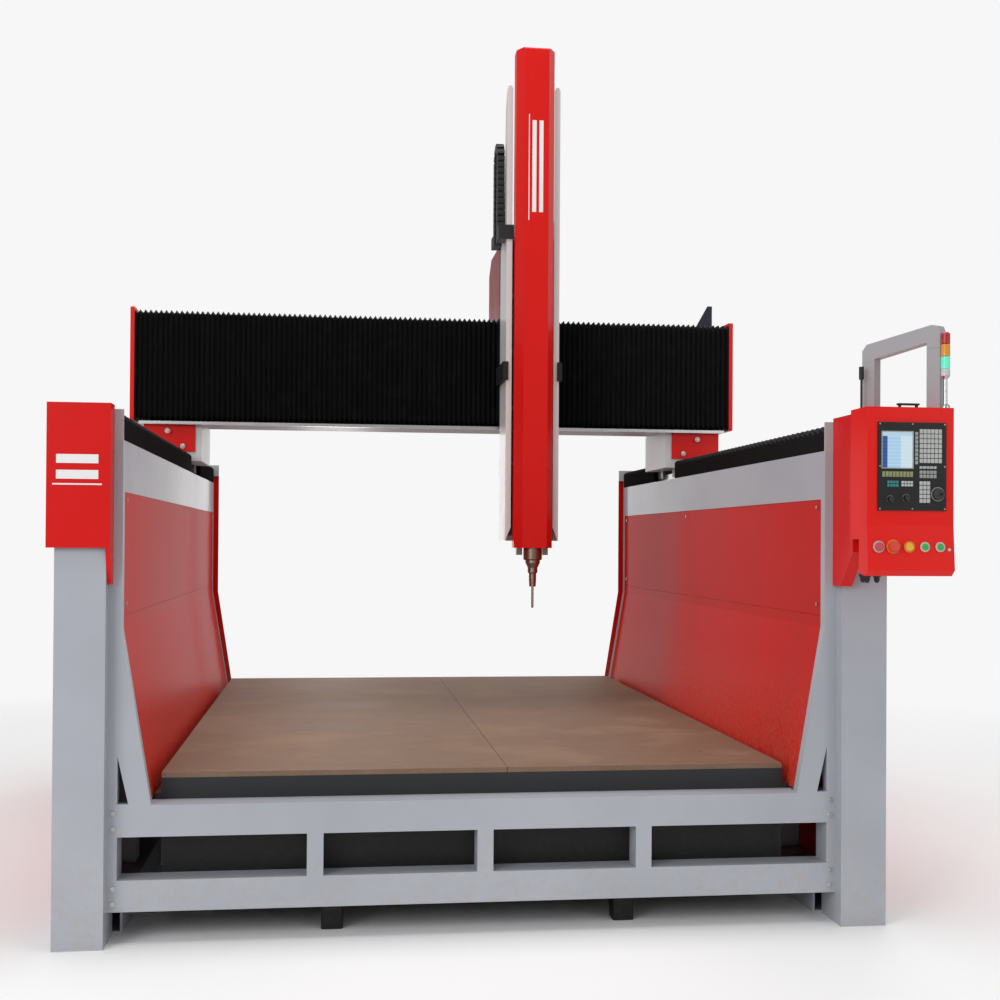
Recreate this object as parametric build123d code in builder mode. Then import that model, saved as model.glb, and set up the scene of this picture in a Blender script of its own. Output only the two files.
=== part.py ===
from build123d import *
import math
import os

# Gantry CNC router for large patterns: two walled side frames carry a travelling bridge,
# and a vertical ram with the spindle hangs on the bridge above a fixed bed.
# Frame: origin on the floor under the bed's middle, +X to the operator's right when facing the
# machine, +Y away from the operator, +Z up. Millimetres.

# ---- driving sizes ----
wall_length = 3390          # side frames, front to back
inner_half = 1254           # centre plane to the inner face of each wall
wall_thick = 216            # inner face to outer face
beam_low = 1554             # underside of the wall's top beam
beam_top = 1731             # seat of the rails
bend_height = 1082          # where the inner panels start to lean inwards
seam_height = 1123          # joint between upper and lower inner panels
panel_foot = 485            # lower edge of the inner panels
panel_foot_half = 1160      # their distance from the centre plane there
sheet = 3                   # panel thickness
tube_wall = 8               # wall of the welded tubes
pillar_width = 170
pillar_depth = 190
pillar_proud = 53           # pillars stand this far ahead of the wall's end
rail_low = (112, 220)       # lower rail of the end lattices
rail_high = (368, 477)      # upper rail of the end lattices
lattice_depth = 105         # its back face carries the bed
lattice_post = 57
bed_half = 1130
slab_height = (477, 552)
board_thick = 18
foot_width = 78
foot_half = 532
cap_top = 1850
cap_low = 1360
cap_wedge_low = 1236
bellows_top = 1825
rail_size = (30, 35)        # linear rail, width and height
gap = 0.5                   # running clearance between separate bodies
saddle_front = 440          # front face of the saddles at rest
saddle_length = 465
bridge_half = 1556
bridge_front = 405          # front of the bridge's bellows
bridge_tube = (505, 865)    # bridge tube, front and back
bridge_height = (1985, 2545)
plate_thick = 20
ram_x = 436                 # ram's centre at rest
ram_half = 133
ram_depth = (105, 345)
ram_low = 1395
ram_shoulder = 2900
ram_top = 3655
cover_front = 5
cover_height = (1360, 3814)
cover_half = 95
cover_face_half = 60
spindle_y = 65
spindle_radius = 46
tool_tip = 1065
carriage_half = 128
housing_height = (2552, 2930)
gear_module = 5
pinion_teeth = 18
box_low = 1300
box_top = 1861

# ---- values worked out from them ----
front_y = -wall_length / 2
back_y = wall_length / 2
outer_half = inner_half + wall_thick
pillar_x = (outer_half - pillar_width, outer_half)
bed_y = (front_y + lattice_depth, back_y - lattice_depth)
board_top = slab_height[1] + board_thick
rail_x = inner_half + 50
saddle_back = saddle_front + saddle_length
saddle_middle = (saddle_front + saddle_back) / 2
saddle_top = bridge_height[0] - gap
pitch_radius = gear_module * pinion_teeth / 2

os.makedirs("parts", exist_ok=True)


def save(builder, name):
    builder.part.label = name
    export_step(builder.part, f"parts/{name}.step")


def block(x, y, z, mode=Mode.ADD):
    """A box between two limits on each axis, given in any order."""
    centre = [(a[0] + a[1]) / 2 for a in (x, y, z)]
    size = [abs(a[1] - a[0]) for a in (x, y, z)]
    with Locations(tuple(centre)):
        Box(*size, mode=mode)


def tube(x, y, z, along, wall=tube_wall):
    """A rectangular tube between limits, open at both ends along one axis (0, 1 or 2)."""
    block(x, y, z)
    inner = [a if n == along else (min(a) + wall, max(a) - wall) for n, a in enumerate((x, y, z))]
    block(*inner, mode=Mode.SUBTRACT)


def both_sides(side, limits):
    return (side * limits[0], side * limits[1])


def outline(plane, points, length):
    """A closed outline drawn on a plane and pushed out along its normal."""
    with BuildSketch(plane) as profile:
        with BuildLine():
            Polyline(*points, close=True)
        make_face()
    extrude(to_extrude=profile.sketch, amount=length)


def hex_bolt(x, y, z, radius, head):
    """Hexagon head whose bearing face lies at y and which points to -Y."""
    with BuildSketch(Plane((x, y, z), x_dir=(1, 0, 0), z_dir=(0, -1, 0))) as hexagon:
        RegularPolygon(radius, 6)
    extrude(to_extrude=hexagon.sketch, amount=head)


# ---- side frames ----
with BuildPart() as pillars:
    for side in (-1, 1):
        for y0 in (front_y - pillar_proud, back_y + pillar_proud - pillar_depth):
            tube(both_sides(side, pillar_x), (y0, y0 + pillar_depth), (0, beam_low), 2)
            block(both_sides(side, pillar_x), (y0, y0 + pillar_depth), (beam_low - tube_wall, beam_low))
save(pillars, "pillars")

beam_wall = 10
with BuildPart() as top_beams:
    for side in (-1, 1):
        tube(both_sides(side, (inner_half, outer_half)), (front_y, back_y), (beam_low, beam_top), 1, beam_wall)
        for y in ((front_y, front_y + beam_wall), (back_y - beam_wall, back_y)):
            block(both_sides(side, (inner_half, outer_half)), y, (beam_low, beam_top))
save(top_beams, "top_beams")

sill_y = (front_y + pillar_depth - pillar_proud, back_y - pillar_depth + pillar_proud)
sill_top = rail_low[0]
post_x = (inner_half + 50, outer_half - 50)
with BuildPart() as side_frames:
    for side in (-1, 1):
        tube(both_sides(side, (inner_half + 11, outer_half)), sill_y, (0, sill_top), 1)
        for n in range(1, 5):
            y = sill_y[0] + (sill_y[1] - sill_y[0]) * n / 5
            tube(both_sides(side, post_x), (y - 50, y + 50), (sill_top, beam_low), 2)
save(side_frames, "side_frames")

# Tapered end braces: plates in the wall's end planes, each with a narrow slot beside the pillar.
brace_depth = 40
brace_edge = [(pillar_x[0], beam_low), (inner_half, beam_low), (inner_half, bend_height),
              (panel_foot_half - 8, rail_high[1]), (pillar_x[0], rail_high[1])]
slot_top = 644
slot_low = rail_high[1] + 4
brace_slot = [(inner_half + 11, slot_top), (inner_half + 11, slot_low), (inner_half - 26, slot_low)]
with BuildPart() as end_braces:
    for side in (-1, 1):
        for y, away in ((front_y, 1), (back_y, -1)):
            plane = Plane((0, y, 0), x_dir=(1, 0, 0), z_dir=(0, -1, 0))
            with BuildSketch(plane):
                with BuildLine():
                    Polyline(*[(side * x, z) for x, z in brace_edge], close=True)
                make_face()
                with BuildLine():
                    Polyline(*[(side * x, z) for x, z in brace_slot], close=True)
                make_face(mode=Mode.SUBTRACT)
            extrude(amount=-away * brace_depth)
save(end_braces, "end_braces")

# Inner panels: a flat upper sheet, and a lower sheet bent inwards towards the bed.
panel_y = (front_y + brace_depth, back_y - brace_depth)
panel_face = inner_half + 2
panel_section = [(panel_face, seam_height), (panel_face, bend_height), (panel_foot_half, panel_foot),
                 (panel_foot_half + sheet, panel_foot), (panel_face + sheet, bend_height),
                 (panel_face + sheet, seam_height)]
edge_cover = 30             # the cover on the wall's back edge stands this far inwards
edge_cover_top = 1772
back_edge = [(panel_foot_half - edge_cover, panel_foot), (inner_half - edge_cover, bend_height),
             (inner_half - edge_cover, edge_cover_top), (pillar_x[0] - 1, edge_cover_top),
             (pillar_x[0] - 1, panel_foot)]
with BuildPart() as inner_panels:
    for side in (-1, 1):
        block(both_sides(side, (panel_face, panel_face + sheet)), panel_y, (seam_height + 1, beam_low))
        plane = Plane((0, panel_y[0], 0), x_dir=(1, 0, 0), z_dir=(0, -1, 0))
        outline(plane, [(side * x, z) for x, z in panel_section], panel_y[0] - panel_y[1])
        plane = Plane((0, back_y, 0), x_dir=(1, 0, 0), z_dir=(0, -1, 0))
        outline(plane, [(side * x, z) for x, z in back_edge], -sheet)
save(inner_panels, "inner_panels")

with BuildPart() as outer_panels:
    for side in (-1, 1):
        block(both_sides(side, (post_x[1], post_x[1] + sheet)), sill_y, (sill_top, beam_low))
save(outer_panels, "outer_panels")

# ---- end lattices between the side frames ----
for name, y, away in (("front_lattice", front_y, 1), ("back_lattice", back_y, -1)):
    reach = (y, y + away * lattice_depth)
    inside = (y + away * tube_wall, y + away * (lattice_depth - tube_wall))
    with BuildPart() as lattice:
        for low, high in (rail_low, rail_high):
            block((-pillar_x[0], pillar_x[0]), reach, (low, high))
            block((-pillar_x[0], pillar_x[0]), inside, (low + tube_wall, high - tube_wall), mode=Mode.SUBTRACT)
        for x in (-0.472 * inner_half, 0.005 * inner_half, 0.4625 * inner_half):
            block((x - lattice_post / 2, x + lattice_post / 2), reach, (rail_low[1], rail_high[0]))
        for side in (-1, 1):
            block(both_sides(side, (inner_half + 11, pillar_x[0])), reach, (rail_low[1], rail_high[0]))
    save(lattice, name)

# ---- bed ----
bearer = 90
bearer_low = rail_low[1] - 10
bearer_y = (bed_y[0] + bearer, bed_y[1] - bearer)
with BuildPart() as bed_frame:
    for n in range(7):
        x = (n - 3) * (bed_half - bearer / 2) / 3
        tube((x - bearer / 2, x + bearer / 2), bearer_y, (bearer_low, slab_height[0]), 1)
    for y in (bed_y[0], bearer_y[1]):
        tube((-bed_half, bed_half), (y, y + bearer), (bearer_low, slab_height[0]), 0)
save(bed_frame, "bed_frame")

leg_places = [(x, y) for y in (bed_y[0] + bearer / 2, bed_y[1] - bearer / 2) for x in (-foot_half, foot_half)]
with BuildPart() as bed_legs:
    with Locations(*[(x, y, bearer_low / 2) for x, y in leg_places + [(0, 0)]]):
        Box(foot_width, foot_width, bearer_low)
    fillet(bed_legs.edges().filter_by(Axis.Z), 10)
save(bed_legs, "bed_legs")

fixture_spacing = (1800, 2600)
fixture_hole = 5.1
with BuildPart() as table_slab:
    block((-bed_half, bed_half), bed_y, slab_height)
    for side in (-1, 1):
        block(both_sides(side, (bed_half, bed_half + 22)), bed_y, (slab_height[0], slab_height[0] + 20))
    with Locations((0, 0, slab_height[1])):
        with GridLocations(*fixture_spacing, 2, 2):
            Hole(radius=fixture_hole)
save(table_slab, "table_slab")

with BuildPart() as spoilboard:
    for x in ((-bed_half, 96), (98, bed_half)):
        block(x, bed_y, (slab_height[1], board_top))
    with Locations((0, 0, board_top)):
        with GridLocations(*fixture_spacing, 2, 2):
            Hole(radius=fixture_hole)
save(spoilboard, "spoilboard")

# ---- covers over the front ends of the walls, folded from sheet and open to the back ----
cap_x = (inner_half + 30, outer_half + 39)
caps = [("cap_left", -1, 75, 15, pillar_x[0] - cap_x[0]), ("cap_right", 1, 188, 0, 44)]
for name, side, ahead, trim, wedge_width in caps:
    low_x, high_x = sorted((side * cap_x[0], side * (cap_x[1] - trim)))
    wedge_x = both_sides(side, (cap_x[0], cap_x[0] + wedge_width))
    foot_y = front_y - ahead * 0.4
    wedge = [(front_y, cap_low + sheet), (front_y, cap_wedge_low), (foot_y, cap_wedge_low),
             (front_y - ahead, cap_low), (front_y - ahead, cap_low + sheet)]
    with BuildPart() as cap:
        block((low_x, high_x), (front_y - ahead, front_y), (cap_low, cap_top))
        block((low_x + sheet, high_x - sheet), (front_y - ahead + sheet, front_y), (cap_low - 1, cap_top - sheet),
              mode=Mode.SUBTRACT)
        outline(Plane((min(wedge_x), 0, 0), x_dir=(0, 1, 0), z_dir=(1, 0, 0)), wedge, wedge_width)
        hollow_x = both_sides(side, (cap_x[0] + sheet, cap_x[0] + wedge_width + 1))
        hollow = [(front_y + 1, cap_low + sheet + 1), (front_y + 1, cap_wedge_low - 1),
                  (foot_y + sheet, cap_wedge_low - 1), (front_y - ahead + sheet, cap_low),
                  (front_y - ahead + sheet, cap_low + sheet + 1)]
        with BuildSketch(Plane((min(hollow_x), 0, 0), x_dir=(0, 1, 0), z_dir=(1, 0, 0))) as pocket:
            with BuildLine():
                Polyline(*hollow, close=True)
            make_face()
        extrude(to_extrude=pocket.sketch, amount=wedge_width - sheet + 1, mode=Mode.SUBTRACT)
    save(cap, name)

# ---- ways on top of the walls ----
way_y = (front_y + 12, back_y - 12)
with BuildPart() as bellows_bulkheads:
    for side in (-1, 1):
        for y in ((front_y, front_y + 10), (back_y - 10, back_y)):
            block(both_sides(side, (inner_half, outer_half - 10)), y, (beam_top, bellows_top + 12))
        block(both_sides(side, (inner_half - edge_cover, inner_half)), (back_y - 10, back_y),
              (edge_cover_top, bellows_top + 12))
save(bellows_bulkheads, "bellows_bulkheads")

def rack_outline(low, high, mesh_at, body):
    """Straight rack profile from low to high, with the middle of a tooth gap at mesh_at."""
    pitch = math.pi * gear_module
    lean = gear_module * math.tan(math.radians(20))
    half = pitch / 4 - 0.35
    root = -1.25 * gear_module
    points = [(low, -body), (low, root)]
    for n in range(math.ceil((low - mesh_at) / pitch), math.floor((high - mesh_at) / pitch)):
        middle = mesh_at + (n + 0.5) * pitch
        points.append((middle - half - 1.25 * lean, root))
        points.append((middle - half + lean, gear_module))
        points.append((middle + half - lean, gear_module))
        points.append((middle + half + 1.25 * lean, root))
    points.append((high, root))
    points.append((high, -body))
    return points


def pinion_outline():
    """Spur gear profile with straight-sided teeth that clear the rack's flanks as they roll."""
    points = []
    for n in range(pinion_teeth):
        middle = 2 * math.pi * n / pinion_teeth
        for radius, share in ((-1.25, -0.34), (0, -0.21), (0.95, -0.10), (0.95, 0.10), (0, 0.21), (-1.25, 0.34)):
            turn = middle + share * 2 * math.pi / pinion_teeth
            size = pitch_radius + radius * gear_module
            points.append((size * math.cos(turn), size * math.sin(turn)))
    return points


rack_height = (beam_top, beam_top + 30)
rack_pitch_x = outer_half - 45
with BuildPart() as y_ways:
    for side in (-1, 1):
        x = side * rail_x
        block((x - rail_size[0] / 2, x + rail_size[0] / 2), way_y, (beam_top, beam_top + rail_size[1]))
        plane = Plane((side * rack_pitch_x, 0, rack_height[0]), x_dir=(0, side, 0), z_dir=(0, 0, 1))
        ends = sorted(side * y for y in way_y)
        teeth = rack_outline(*ends, side * saddle_middle, 16)
        outline(plane, teeth, rack_height[1] - rack_height[0])
save(y_ways, "y_ways")

# Folded bellows over the ways: plain closed shells here, cut away inside for the rail and rack.
bellows_x = (inner_half, outer_half - 12)
for name, y in (("y_bellows_front", (front_y + 10, saddle_front + 13.7)),
                ("y_bellows_back", (saddle_back + 0.3, back_y - 10))):
    with BuildPart() as bellows:
        for side in (-1, 1):
            block(both_sides(side, bellows_x), y, (beam_top, bellows_top))
            block(both_sides(side, (bellows_x[0] + 14, bellows_x[1] - 14)), y,
                  (beam_top, bellows_top - 14), mode=Mode.SUBTRACT)
    save(bellows, name)

# ---- bridge ----
block_low = beam_top + rail_size[1] + gap
saddle_low = block_low + 22
cheek_half = inner_half - 50
pinion_x = rack_pitch_x - pitch_radius
motor_low = saddle_low + 14
shaft_radius = 16
with BuildPart() as saddles:
    for side in (-1, 1):
        block(both_sides(side, (inner_half, outer_half - 4)), (saddle_front + 14, saddle_back), (saddle_low, saddle_top))
        block(both_sides(side, (inner_half + 14, outer_half - 18)), (saddle_front + 28, saddle_back - 14),
              (saddle_low + 14, saddle_top - 14), mode=Mode.SUBTRACT)
        block(both_sides(side, (cheek_half, inner_half)), (saddle_front + 14, saddle_back), (saddle_low, saddle_top))
        with Locations((side * pinion_x, saddle_middle, saddle_low + 7)):
            Cylinder(radius=shaft_radius + gap, height=20, mode=Mode.SUBTRACT)
save(saddles, "saddles")

cover_x = (inner_half - 18, outer_half + 20)
with BuildPart() as saddle_covers:
    for side in (-1, 1):
        block(both_sides(side, cover_x), (saddle_front + 4, saddle_front + 14), (bellows_top + 10, saddle_top - 12))
        hex_bolt(side * (cover_x[0] + cover_x[1]) / 2, saddle_front + 4, saddle_top - 50, 13, 9)
save(saddle_covers, "saddle_covers")

with BuildPart() as y_guide_blocks:
    for side in (-1, 1):
        for y in (saddle_front + 85, saddle_back - 70):
            x = side * rail_x
            block((x - 30, x + 30), (y - 55, y + 55), (block_low - 22, saddle_low))
            block((x - rail_size[0] / 2 - gap, x + rail_size[0] / 2 + gap), (y - 55, y + 55),
                  (block_low - 22, block_low), mode=Mode.SUBTRACT)
save(y_guide_blocks, "y_guide_blocks")

# Each saddle carries a gearmotor whose pinion runs on the rack beside the rail.
with BuildPart() as y_gearmotors:
    for side in (-1, 1):
        with Locations((side * pinion_x, saddle_middle, (motor_low + saddle_top - 14.5) / 2)):
            Cylinder(radius=48, height=saddle_top - 14.5 - motor_low)
save(y_gearmotors, "y_gearmotors")

for name, side in (("y_pinion_left", -1), ("y_pinion_right", 1)):
    with BuildPart() as pinion:
        outline(Plane.XY.offset(rack_height[0] + 2), pinion_outline(), rack_height[1] - rack_height[0] - 4)
        with Locations((0, 0, (rack_height[1] - 4 + motor_low) / 2)):
            Cylinder(radius=shaft_radius, height=motor_low - gap - rack_height[1] + 4)
    with BuildPart() as placed:
        add(Pos(side * pinion_x, saddle_middle, 0) * pinion.part)
    save(placed, name)

tube_x = (-bridge_half + plate_thick + 3, bridge_half - plate_thick - 3)
with BuildPart() as bridge_beam:
    tube(tube_x, bridge_tube, bridge_height, 0, 12)
save(bridge_beam, "bridge_beam")

with BuildPart() as bridge_end_plates:
    for side in (-1, 1):
        x = both_sides(side, (tube_x[1], tube_x[1] + plate_thick))
        block(x, (bridge_front - 4, bridge_tube[1] + 6), (bridge_height[0], bridge_height[1] + 12))
    fillet(bridge_end_plates.edges().filter_by(Axis.X), 12)
save(bridge_end_plates, "bridge_end_plates")

x_rail_z = (bridge_height[0] + 90, bridge_height[1] - 90)
rail_inset = 30
x_rack_z = (bridge_height[0] + bridge_height[1]) / 2 + 60
rack_y = (bridge_tube[0] - 30, bridge_tube[0])
with BuildPart() as x_ways:
    for z in x_rail_z:
        block((tube_x[0] + rail_inset, tube_x[1] - rail_inset), (bridge_tube[0] - rail_size[1], bridge_tube[0]),
              (z - rail_size[0] / 2, z + rail_size[0] / 2))
    plane = Plane((0, rack_y[1], x_rack_z), x_dir=(1, 0, 0), z_dir=(0, -1, 0))
    teeth = rack_outline(tube_x[0] + rail_inset, tube_x[1] - rail_inset, ram_x, 16)
    outline(plane, teeth, rack_y[1] - rack_y[0])
save(x_ways, "x_ways")

strip_height = 15
strip_half = bridge_half - 47
under_half = cheek_half - 5
with BuildPart() as bridge_strip:
    low = bridge_height[0] - strip_height
    block((-strip_half, strip_half), (bridge_front + 2, bridge_front + 8), (low, bridge_height[0]))
    block((-strip_half, strip_half), (bridge_front + 2, saddle_front + 10), (bridge_height[0] - 6, bridge_height[0]))
    block((-under_half, under_half), (saddle_front + 10, bridge_tube[0] + 30),
          (bridge_height[0] - 6, bridge_height[0]))
save(bridge_strip, "bridge_strip")

upstand_width = 110
upstand_height = 152
with BuildPart() as cable_upstand:
    outline(Plane((tube_x[1] - 116, bridge_tube[1] - 160, bridge_height[1]), x_dir=(1, 0, 0), z_dir=(0, -1, 0)),
            [(0, 0), (upstand_width - 25, upstand_height), (upstand_width, upstand_height), (upstand_width, 0)], -8)
save(cable_upstand, "cable_upstand")

# Bridge bellows: channel-shaped shells from each end plate to the carriage.
bellows_gap = 2
for name, x in (("x_bellows_left", (tube_x[0], ram_x - carriage_half - bellows_gap)),
                ("x_bellows_right", (ram_x + carriage_half + bellows_gap, tube_x[1]))):
    with BuildPart() as bellows:
        block(x, (bridge_front, bridge_tube[0] - gap), (bridge_height[0] + 1, bridge_height[1]))
        block(x, (bridge_front + 16, bridge_tube[0]), (bridge_height[0] + 17, bridge_height[1] - 16),
              mode=Mode.SUBTRACT)
    save(bellows, name)

# ---- carriage ----
plate_y = (bridge_front - 15, bridge_front + 12)
with BuildPart() as carriage_plate:
    block((ram_x - carriage_half, ram_x + carriage_half), plate_y, (bridge_height[0] + 20, housing_height[0] + 60))
save(carriage_plate, "carriage_plate")

x_block_y = (plate_y[1], bridge_tube[0] - 12)
with BuildPart() as x_guide_blocks:
    for x in (ram_x - 72, ram_x + 72):
        for z in x_rail_z:
            block((x - 50, x + 50), x_block_y, (z - 32, z + 32))
            block((x - 50, x + 50), (bridge_tube[0] - rail_size[1] - gap, x_block_y[1]),
                  (z - rail_size[0] / 2 - gap, z + rail_size[0] / 2 + gap), mode=Mode.SUBTRACT)
save(x_guide_blocks, "x_guide_blocks")

x_pinion_z = x_rack_z + pitch_radius
with BuildPart() as x_pinion:
    outline(Plane((0, 0, 0), x_dir=(0, -1, 0), z_dir=(0, 0, 1)), pinion_outline(), rack_y[1] - rack_y[0] - 4)
    with Locations((0, 0, 32)):
        Cylinder(radius=shaft_radius, height=30)
with BuildPart() as placed:
    add(Pos(ram_x, rack_y[1] - 2, x_pinion_z) * Rot(90, 0, 0) * x_pinion.part)
save(placed, "x_pinion")

with BuildPart() as x_gearmotor:
    with BuildSketch(Plane((ram_x, plate_y[1], x_pinion_z), x_dir=(1, 0, 0), z_dir=(0, 1, 0))):
        Circle(42)
    extrude(amount=rack_y[1] - 49 - plate_y[1] - gap)
save(x_gearmotor, "x_gearmotor")

housing_x = (ram_x - carriage_half, ram_x + carriage_half)
with BuildPart() as carriage_housing:
    back = bridge_tube[1] + 25
    edge = [(plate_y[1], housing_height[0]), (plate_y[1], housing_height[1]), (back - 95, housing_height[1]),
            (back, housing_height[1] - 75), (back, housing_height[0])]
    outline(Plane((housing_x[0], 0, 0), x_dir=(0, 1, 0), z_dir=(1, 0, 0)), edge, 2 * carriage_half)
    offset(amount=-sheet, openings=carriage_housing.faces().sort_by(Axis.Z)[0])
save(carriage_housing, "carriage_housing")

screw_y = ram_depth[1] + 22
screw_radius = 12.5
z_nut_z = (2240, 2330)
z_rail_x = (ram_x - 88, ram_x + 88)
z_rail_y = (ram_depth[1], ram_depth[1] + 25)
z_block_z = (bridge_height[0] + 135, bridge_height[1] - 125)
with BuildPart() as z_guide_blocks:
    for x in z_rail_x:
        for z in z_block_z:
            block((x - 28, x + 28), (z_rail_y[0] + 8, plate_y[0]), (z - 60, z + 60))
            block((x - 15 - gap, x + 15 + gap), (z_rail_y[0] + 8, z_rail_y[1] + gap), (z - 60, z + 60),
                  mode=Mode.SUBTRACT)
    block((ram_x - 26, ram_x + 26), (ram_depth[1] + 2, plate_y[0]), z_nut_z)
    with Locations((ram_x, screw_y, sum(z_nut_z) / 2)):
        Cylinder(radius=screw_radius + gap, height=200, mode=Mode.SUBTRACT)
save(z_guide_blocks, "z_guide_blocks")

# Wiper shoes reach round the ram's sides and hook over its front flanges.
shoe_z = (2190, 2282)
with BuildPart() as ram_shoes:
    for side in (-1, 1):
        near = ram_x + side * (ram_half + 1)
        far = ram_x + side * (ram_half + 15)
        block((near, far), (ram_depth[0] - 10, plate_y[0]), shoe_z)
        block((ram_x + side * (ram_half - 10), far), (ram_depth[0] - 10, ram_depth[0] - 1.5), shoe_z)
        block((ram_x + side * 110, far), (ram_depth[1] + 20, plate_y[0]), shoe_z)
save(ram_shoes, "ram_shoes")

# ---- ram ----
bearing_z = (1472, 3050)
ram_sheet = 6
side_edge = [(ram_depth[0], ram_low), (ram_depth[1], ram_low), (ram_depth[1], ram_shoulder + 60),
             (ram_depth[0] + 95, ram_shoulder + 150), (ram_depth[0] + 70, ram_top - 120),
             (ram_depth[0] + 40, ram_top - 50), (ram_depth[0] + 6, ram_top - 16), (ram_depth[0], ram_top - 16)]
flange_edge = [(ram_half, ram_low), (ram_half - 28, ram_low + 66), (ram_half - 28, ram_top - 16),
               (ram_half - 23, ram_top - 4), (ram_half - 14, ram_top), (ram_half - 5, ram_top - 4),
               (ram_half, ram_top - 16)]
with BuildPart() as ram_body:
    for side in (-1, 1):
        x = min(ram_x + side * ram_half, ram_x + side * (ram_half - ram_sheet))
        outline(Plane((x, 0, 0), x_dir=(0, 1, 0), z_dir=(1, 0, 0)), side_edge, ram_sheet)
        plane = Plane((ram_x, ram_depth[0], 0), x_dir=(1, 0, 0), z_dir=(0, -1, 0))
        outline(plane, [(side * x, z) for x, z in flange_edge], -ram_sheet)
    inside = (ram_x - ram_half + ram_sheet, ram_x + ram_half - ram_sheet)
    block(inside, (ram_depth[1] - ram_sheet, ram_depth[1]), (ram_low, ram_shoulder + 60))
    for z in bearing_z:
        block((ram_x - 28, ram_x + 28), (ram_depth[1] - ram_sheet, plate_y[0] - 2), (z, z + 28))
    for n in range(5):
        z = ram_low + 380 + n * 280
        block(inside, (ram_depth[0] + 40, ram_depth[1]), (z, z + ram_sheet))
    with Locations((ram_x, screw_y, (bearing_z[0] + bearing_z[1]) / 2)):
        Cylinder(radius=screw_radius + gap, height=2000, mode=Mode.SUBTRACT)
save(ram_body, "ram_body")

with BuildPart() as z_rails:
    for x in z_rail_x:
        block((x - 15, x + 15), z_rail_y, (ram_low + 40, ram_shoulder + 40))
save(z_rails, "z_rails")

with BuildPart() as z_screw:
    with Locations((ram_x, screw_y, (bearing_z[0] + bearing_z[1] + 28) / 2)):
        Cylinder(radius=screw_radius, height=bearing_z[1] + 28 - bearing_z[0] + 20)
save(z_screw, "z_screw")

with BuildPart() as z_motor:
    low = bearing_z[1] + 28
    block((ram_x - 45, ram_x + 45), (ram_depth[1] - 45, plate_y[0] - 4), (low + 12, low + 250))
    block((ram_x - 45, ram_x - 28), (ram_depth[1] - 5, plate_y[0] - 4), (low - 28, low + 12))
    block((ram_x + 28, ram_x + 45), (ram_depth[1] - 5, plate_y[0] - 4), (low - 28, low + 12))
    fillet(z_motor.edges().filter_by(Axis.Z).group_by(Axis.Y)[0], 6)
save(z_motor, "z_motor")

cover_depth = 125


def cover_outline(inset):
    face = cover_face_half - inset * 0.6
    side = cover_half - inset
    return [(-face, cover_front + inset), (face, cover_front + inset), (side, cover_front + 56 + inset * 0.4),
            (side, cover_front + cover_depth), (-side, cover_front + cover_depth),
            (-side, cover_front + 56 + inset * 0.4)]


with BuildPart() as ram_cover:
    outline(Plane((ram_x, 0, cover_height[0])), cover_outline(0), cover_height[1] - cover_height[0])
    fillet(ram_cover.faces().sort_by(Axis.Z)[-1].edges().filter_by(Axis.X), 12)
    with BuildSketch(Plane((ram_x, 0, cover_height[0] - 1))) as hollow:
        with BuildLine():
            Polyline(*cover_outline(sheet), close=True)
        make_face()
    extrude(to_extrude=hollow.sketch, amount=cover_height[1] - cover_height[0] - 20, mode=Mode.SUBTRACT)
save(ram_cover, "ram_cover")

carrier_z = (ram_low + 25, ram_low + 340)
rotor_radius = 18
nose_low = 1300
rotor_top = 1535
motor_low_z = 1780
motor_length = 260
with BuildPart() as spindle_housing:
    carrier_half = cover_half - sheet - 0.3
    block((ram_x - carrier_half, ram_x + carrier_half), (spindle_y + 10, ram_depth[1] - ram_sheet), carrier_z)
    for side in (-1, 1):
        block((ram_x + side * 50, ram_x + side * 78), (spindle_y + 12, spindle_y + 45), (nose_low + 25, carrier_z[0]))
    with BuildSketch(Plane((ram_x, spindle_y, nose_low))) as barrel:
        Circle(spindle_radius)
    extrude(to_extrude=barrel.sketch, amount=motor_low_z - nose_low)
    with BuildSketch(Plane((ram_x, spindle_y, motor_low_z))) as motor:
        RectangleRounded(92, 92, 10)
    extrude(to_extrude=motor.sketch, amount=motor_length)
    chamfer(spindle_housing.edges().filter_by(GeomType.CIRCLE).sort_by(Axis.Z)[0], 5)
    with BuildSketch(Plane((ram_x, spindle_y, nose_low - 1))) as bore:
        Circle(rotor_radius + gap)
    extrude(to_extrude=bore.sketch, amount=rotor_top - nose_low + 5, mode=Mode.SUBTRACT)
save(spindle_housing, "spindle_housing")

holder_low = 1170
flange_top = nose_low - gap
cutter_radius = 6
with BuildPart() as tool_holder:
    with BuildSketch(Plane((ram_x, spindle_y, 0), x_dir=(1, 0, 0), z_dir=(0, -1, 0))) as section:
        with BuildLine():
            Polyline((cutter_radius, rotor_top), (rotor_radius, rotor_top), (rotor_radius, flange_top),
                     (36, flange_top), (36, nose_low - 14), (24, nose_low - 38), (24, nose_low - 60),
                     (18, nose_low - 66), (18, holder_low + 35), (16, holder_low), (cutter_radius, holder_low),
                     close=True)
        make_face()
    revolve(profiles=section.sketch, axis=Axis((ram_x, spindle_y, 0), (0, 0, 1)))
save(tool_holder, "tool_holder")

with BuildPart() as cutter:
    with BuildSketch(Plane((ram_x, spindle_y, tool_tip))) as shank:
        Circle(cutter_radius)
    extrude(to_extrude=shank.sketch, amount=rotor_top - tool_tip)
    fillet(cutter.edges().sort_by(Axis.Z)[0], cutter_radius * 0.9)
save(cutter, "cutter")

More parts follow.
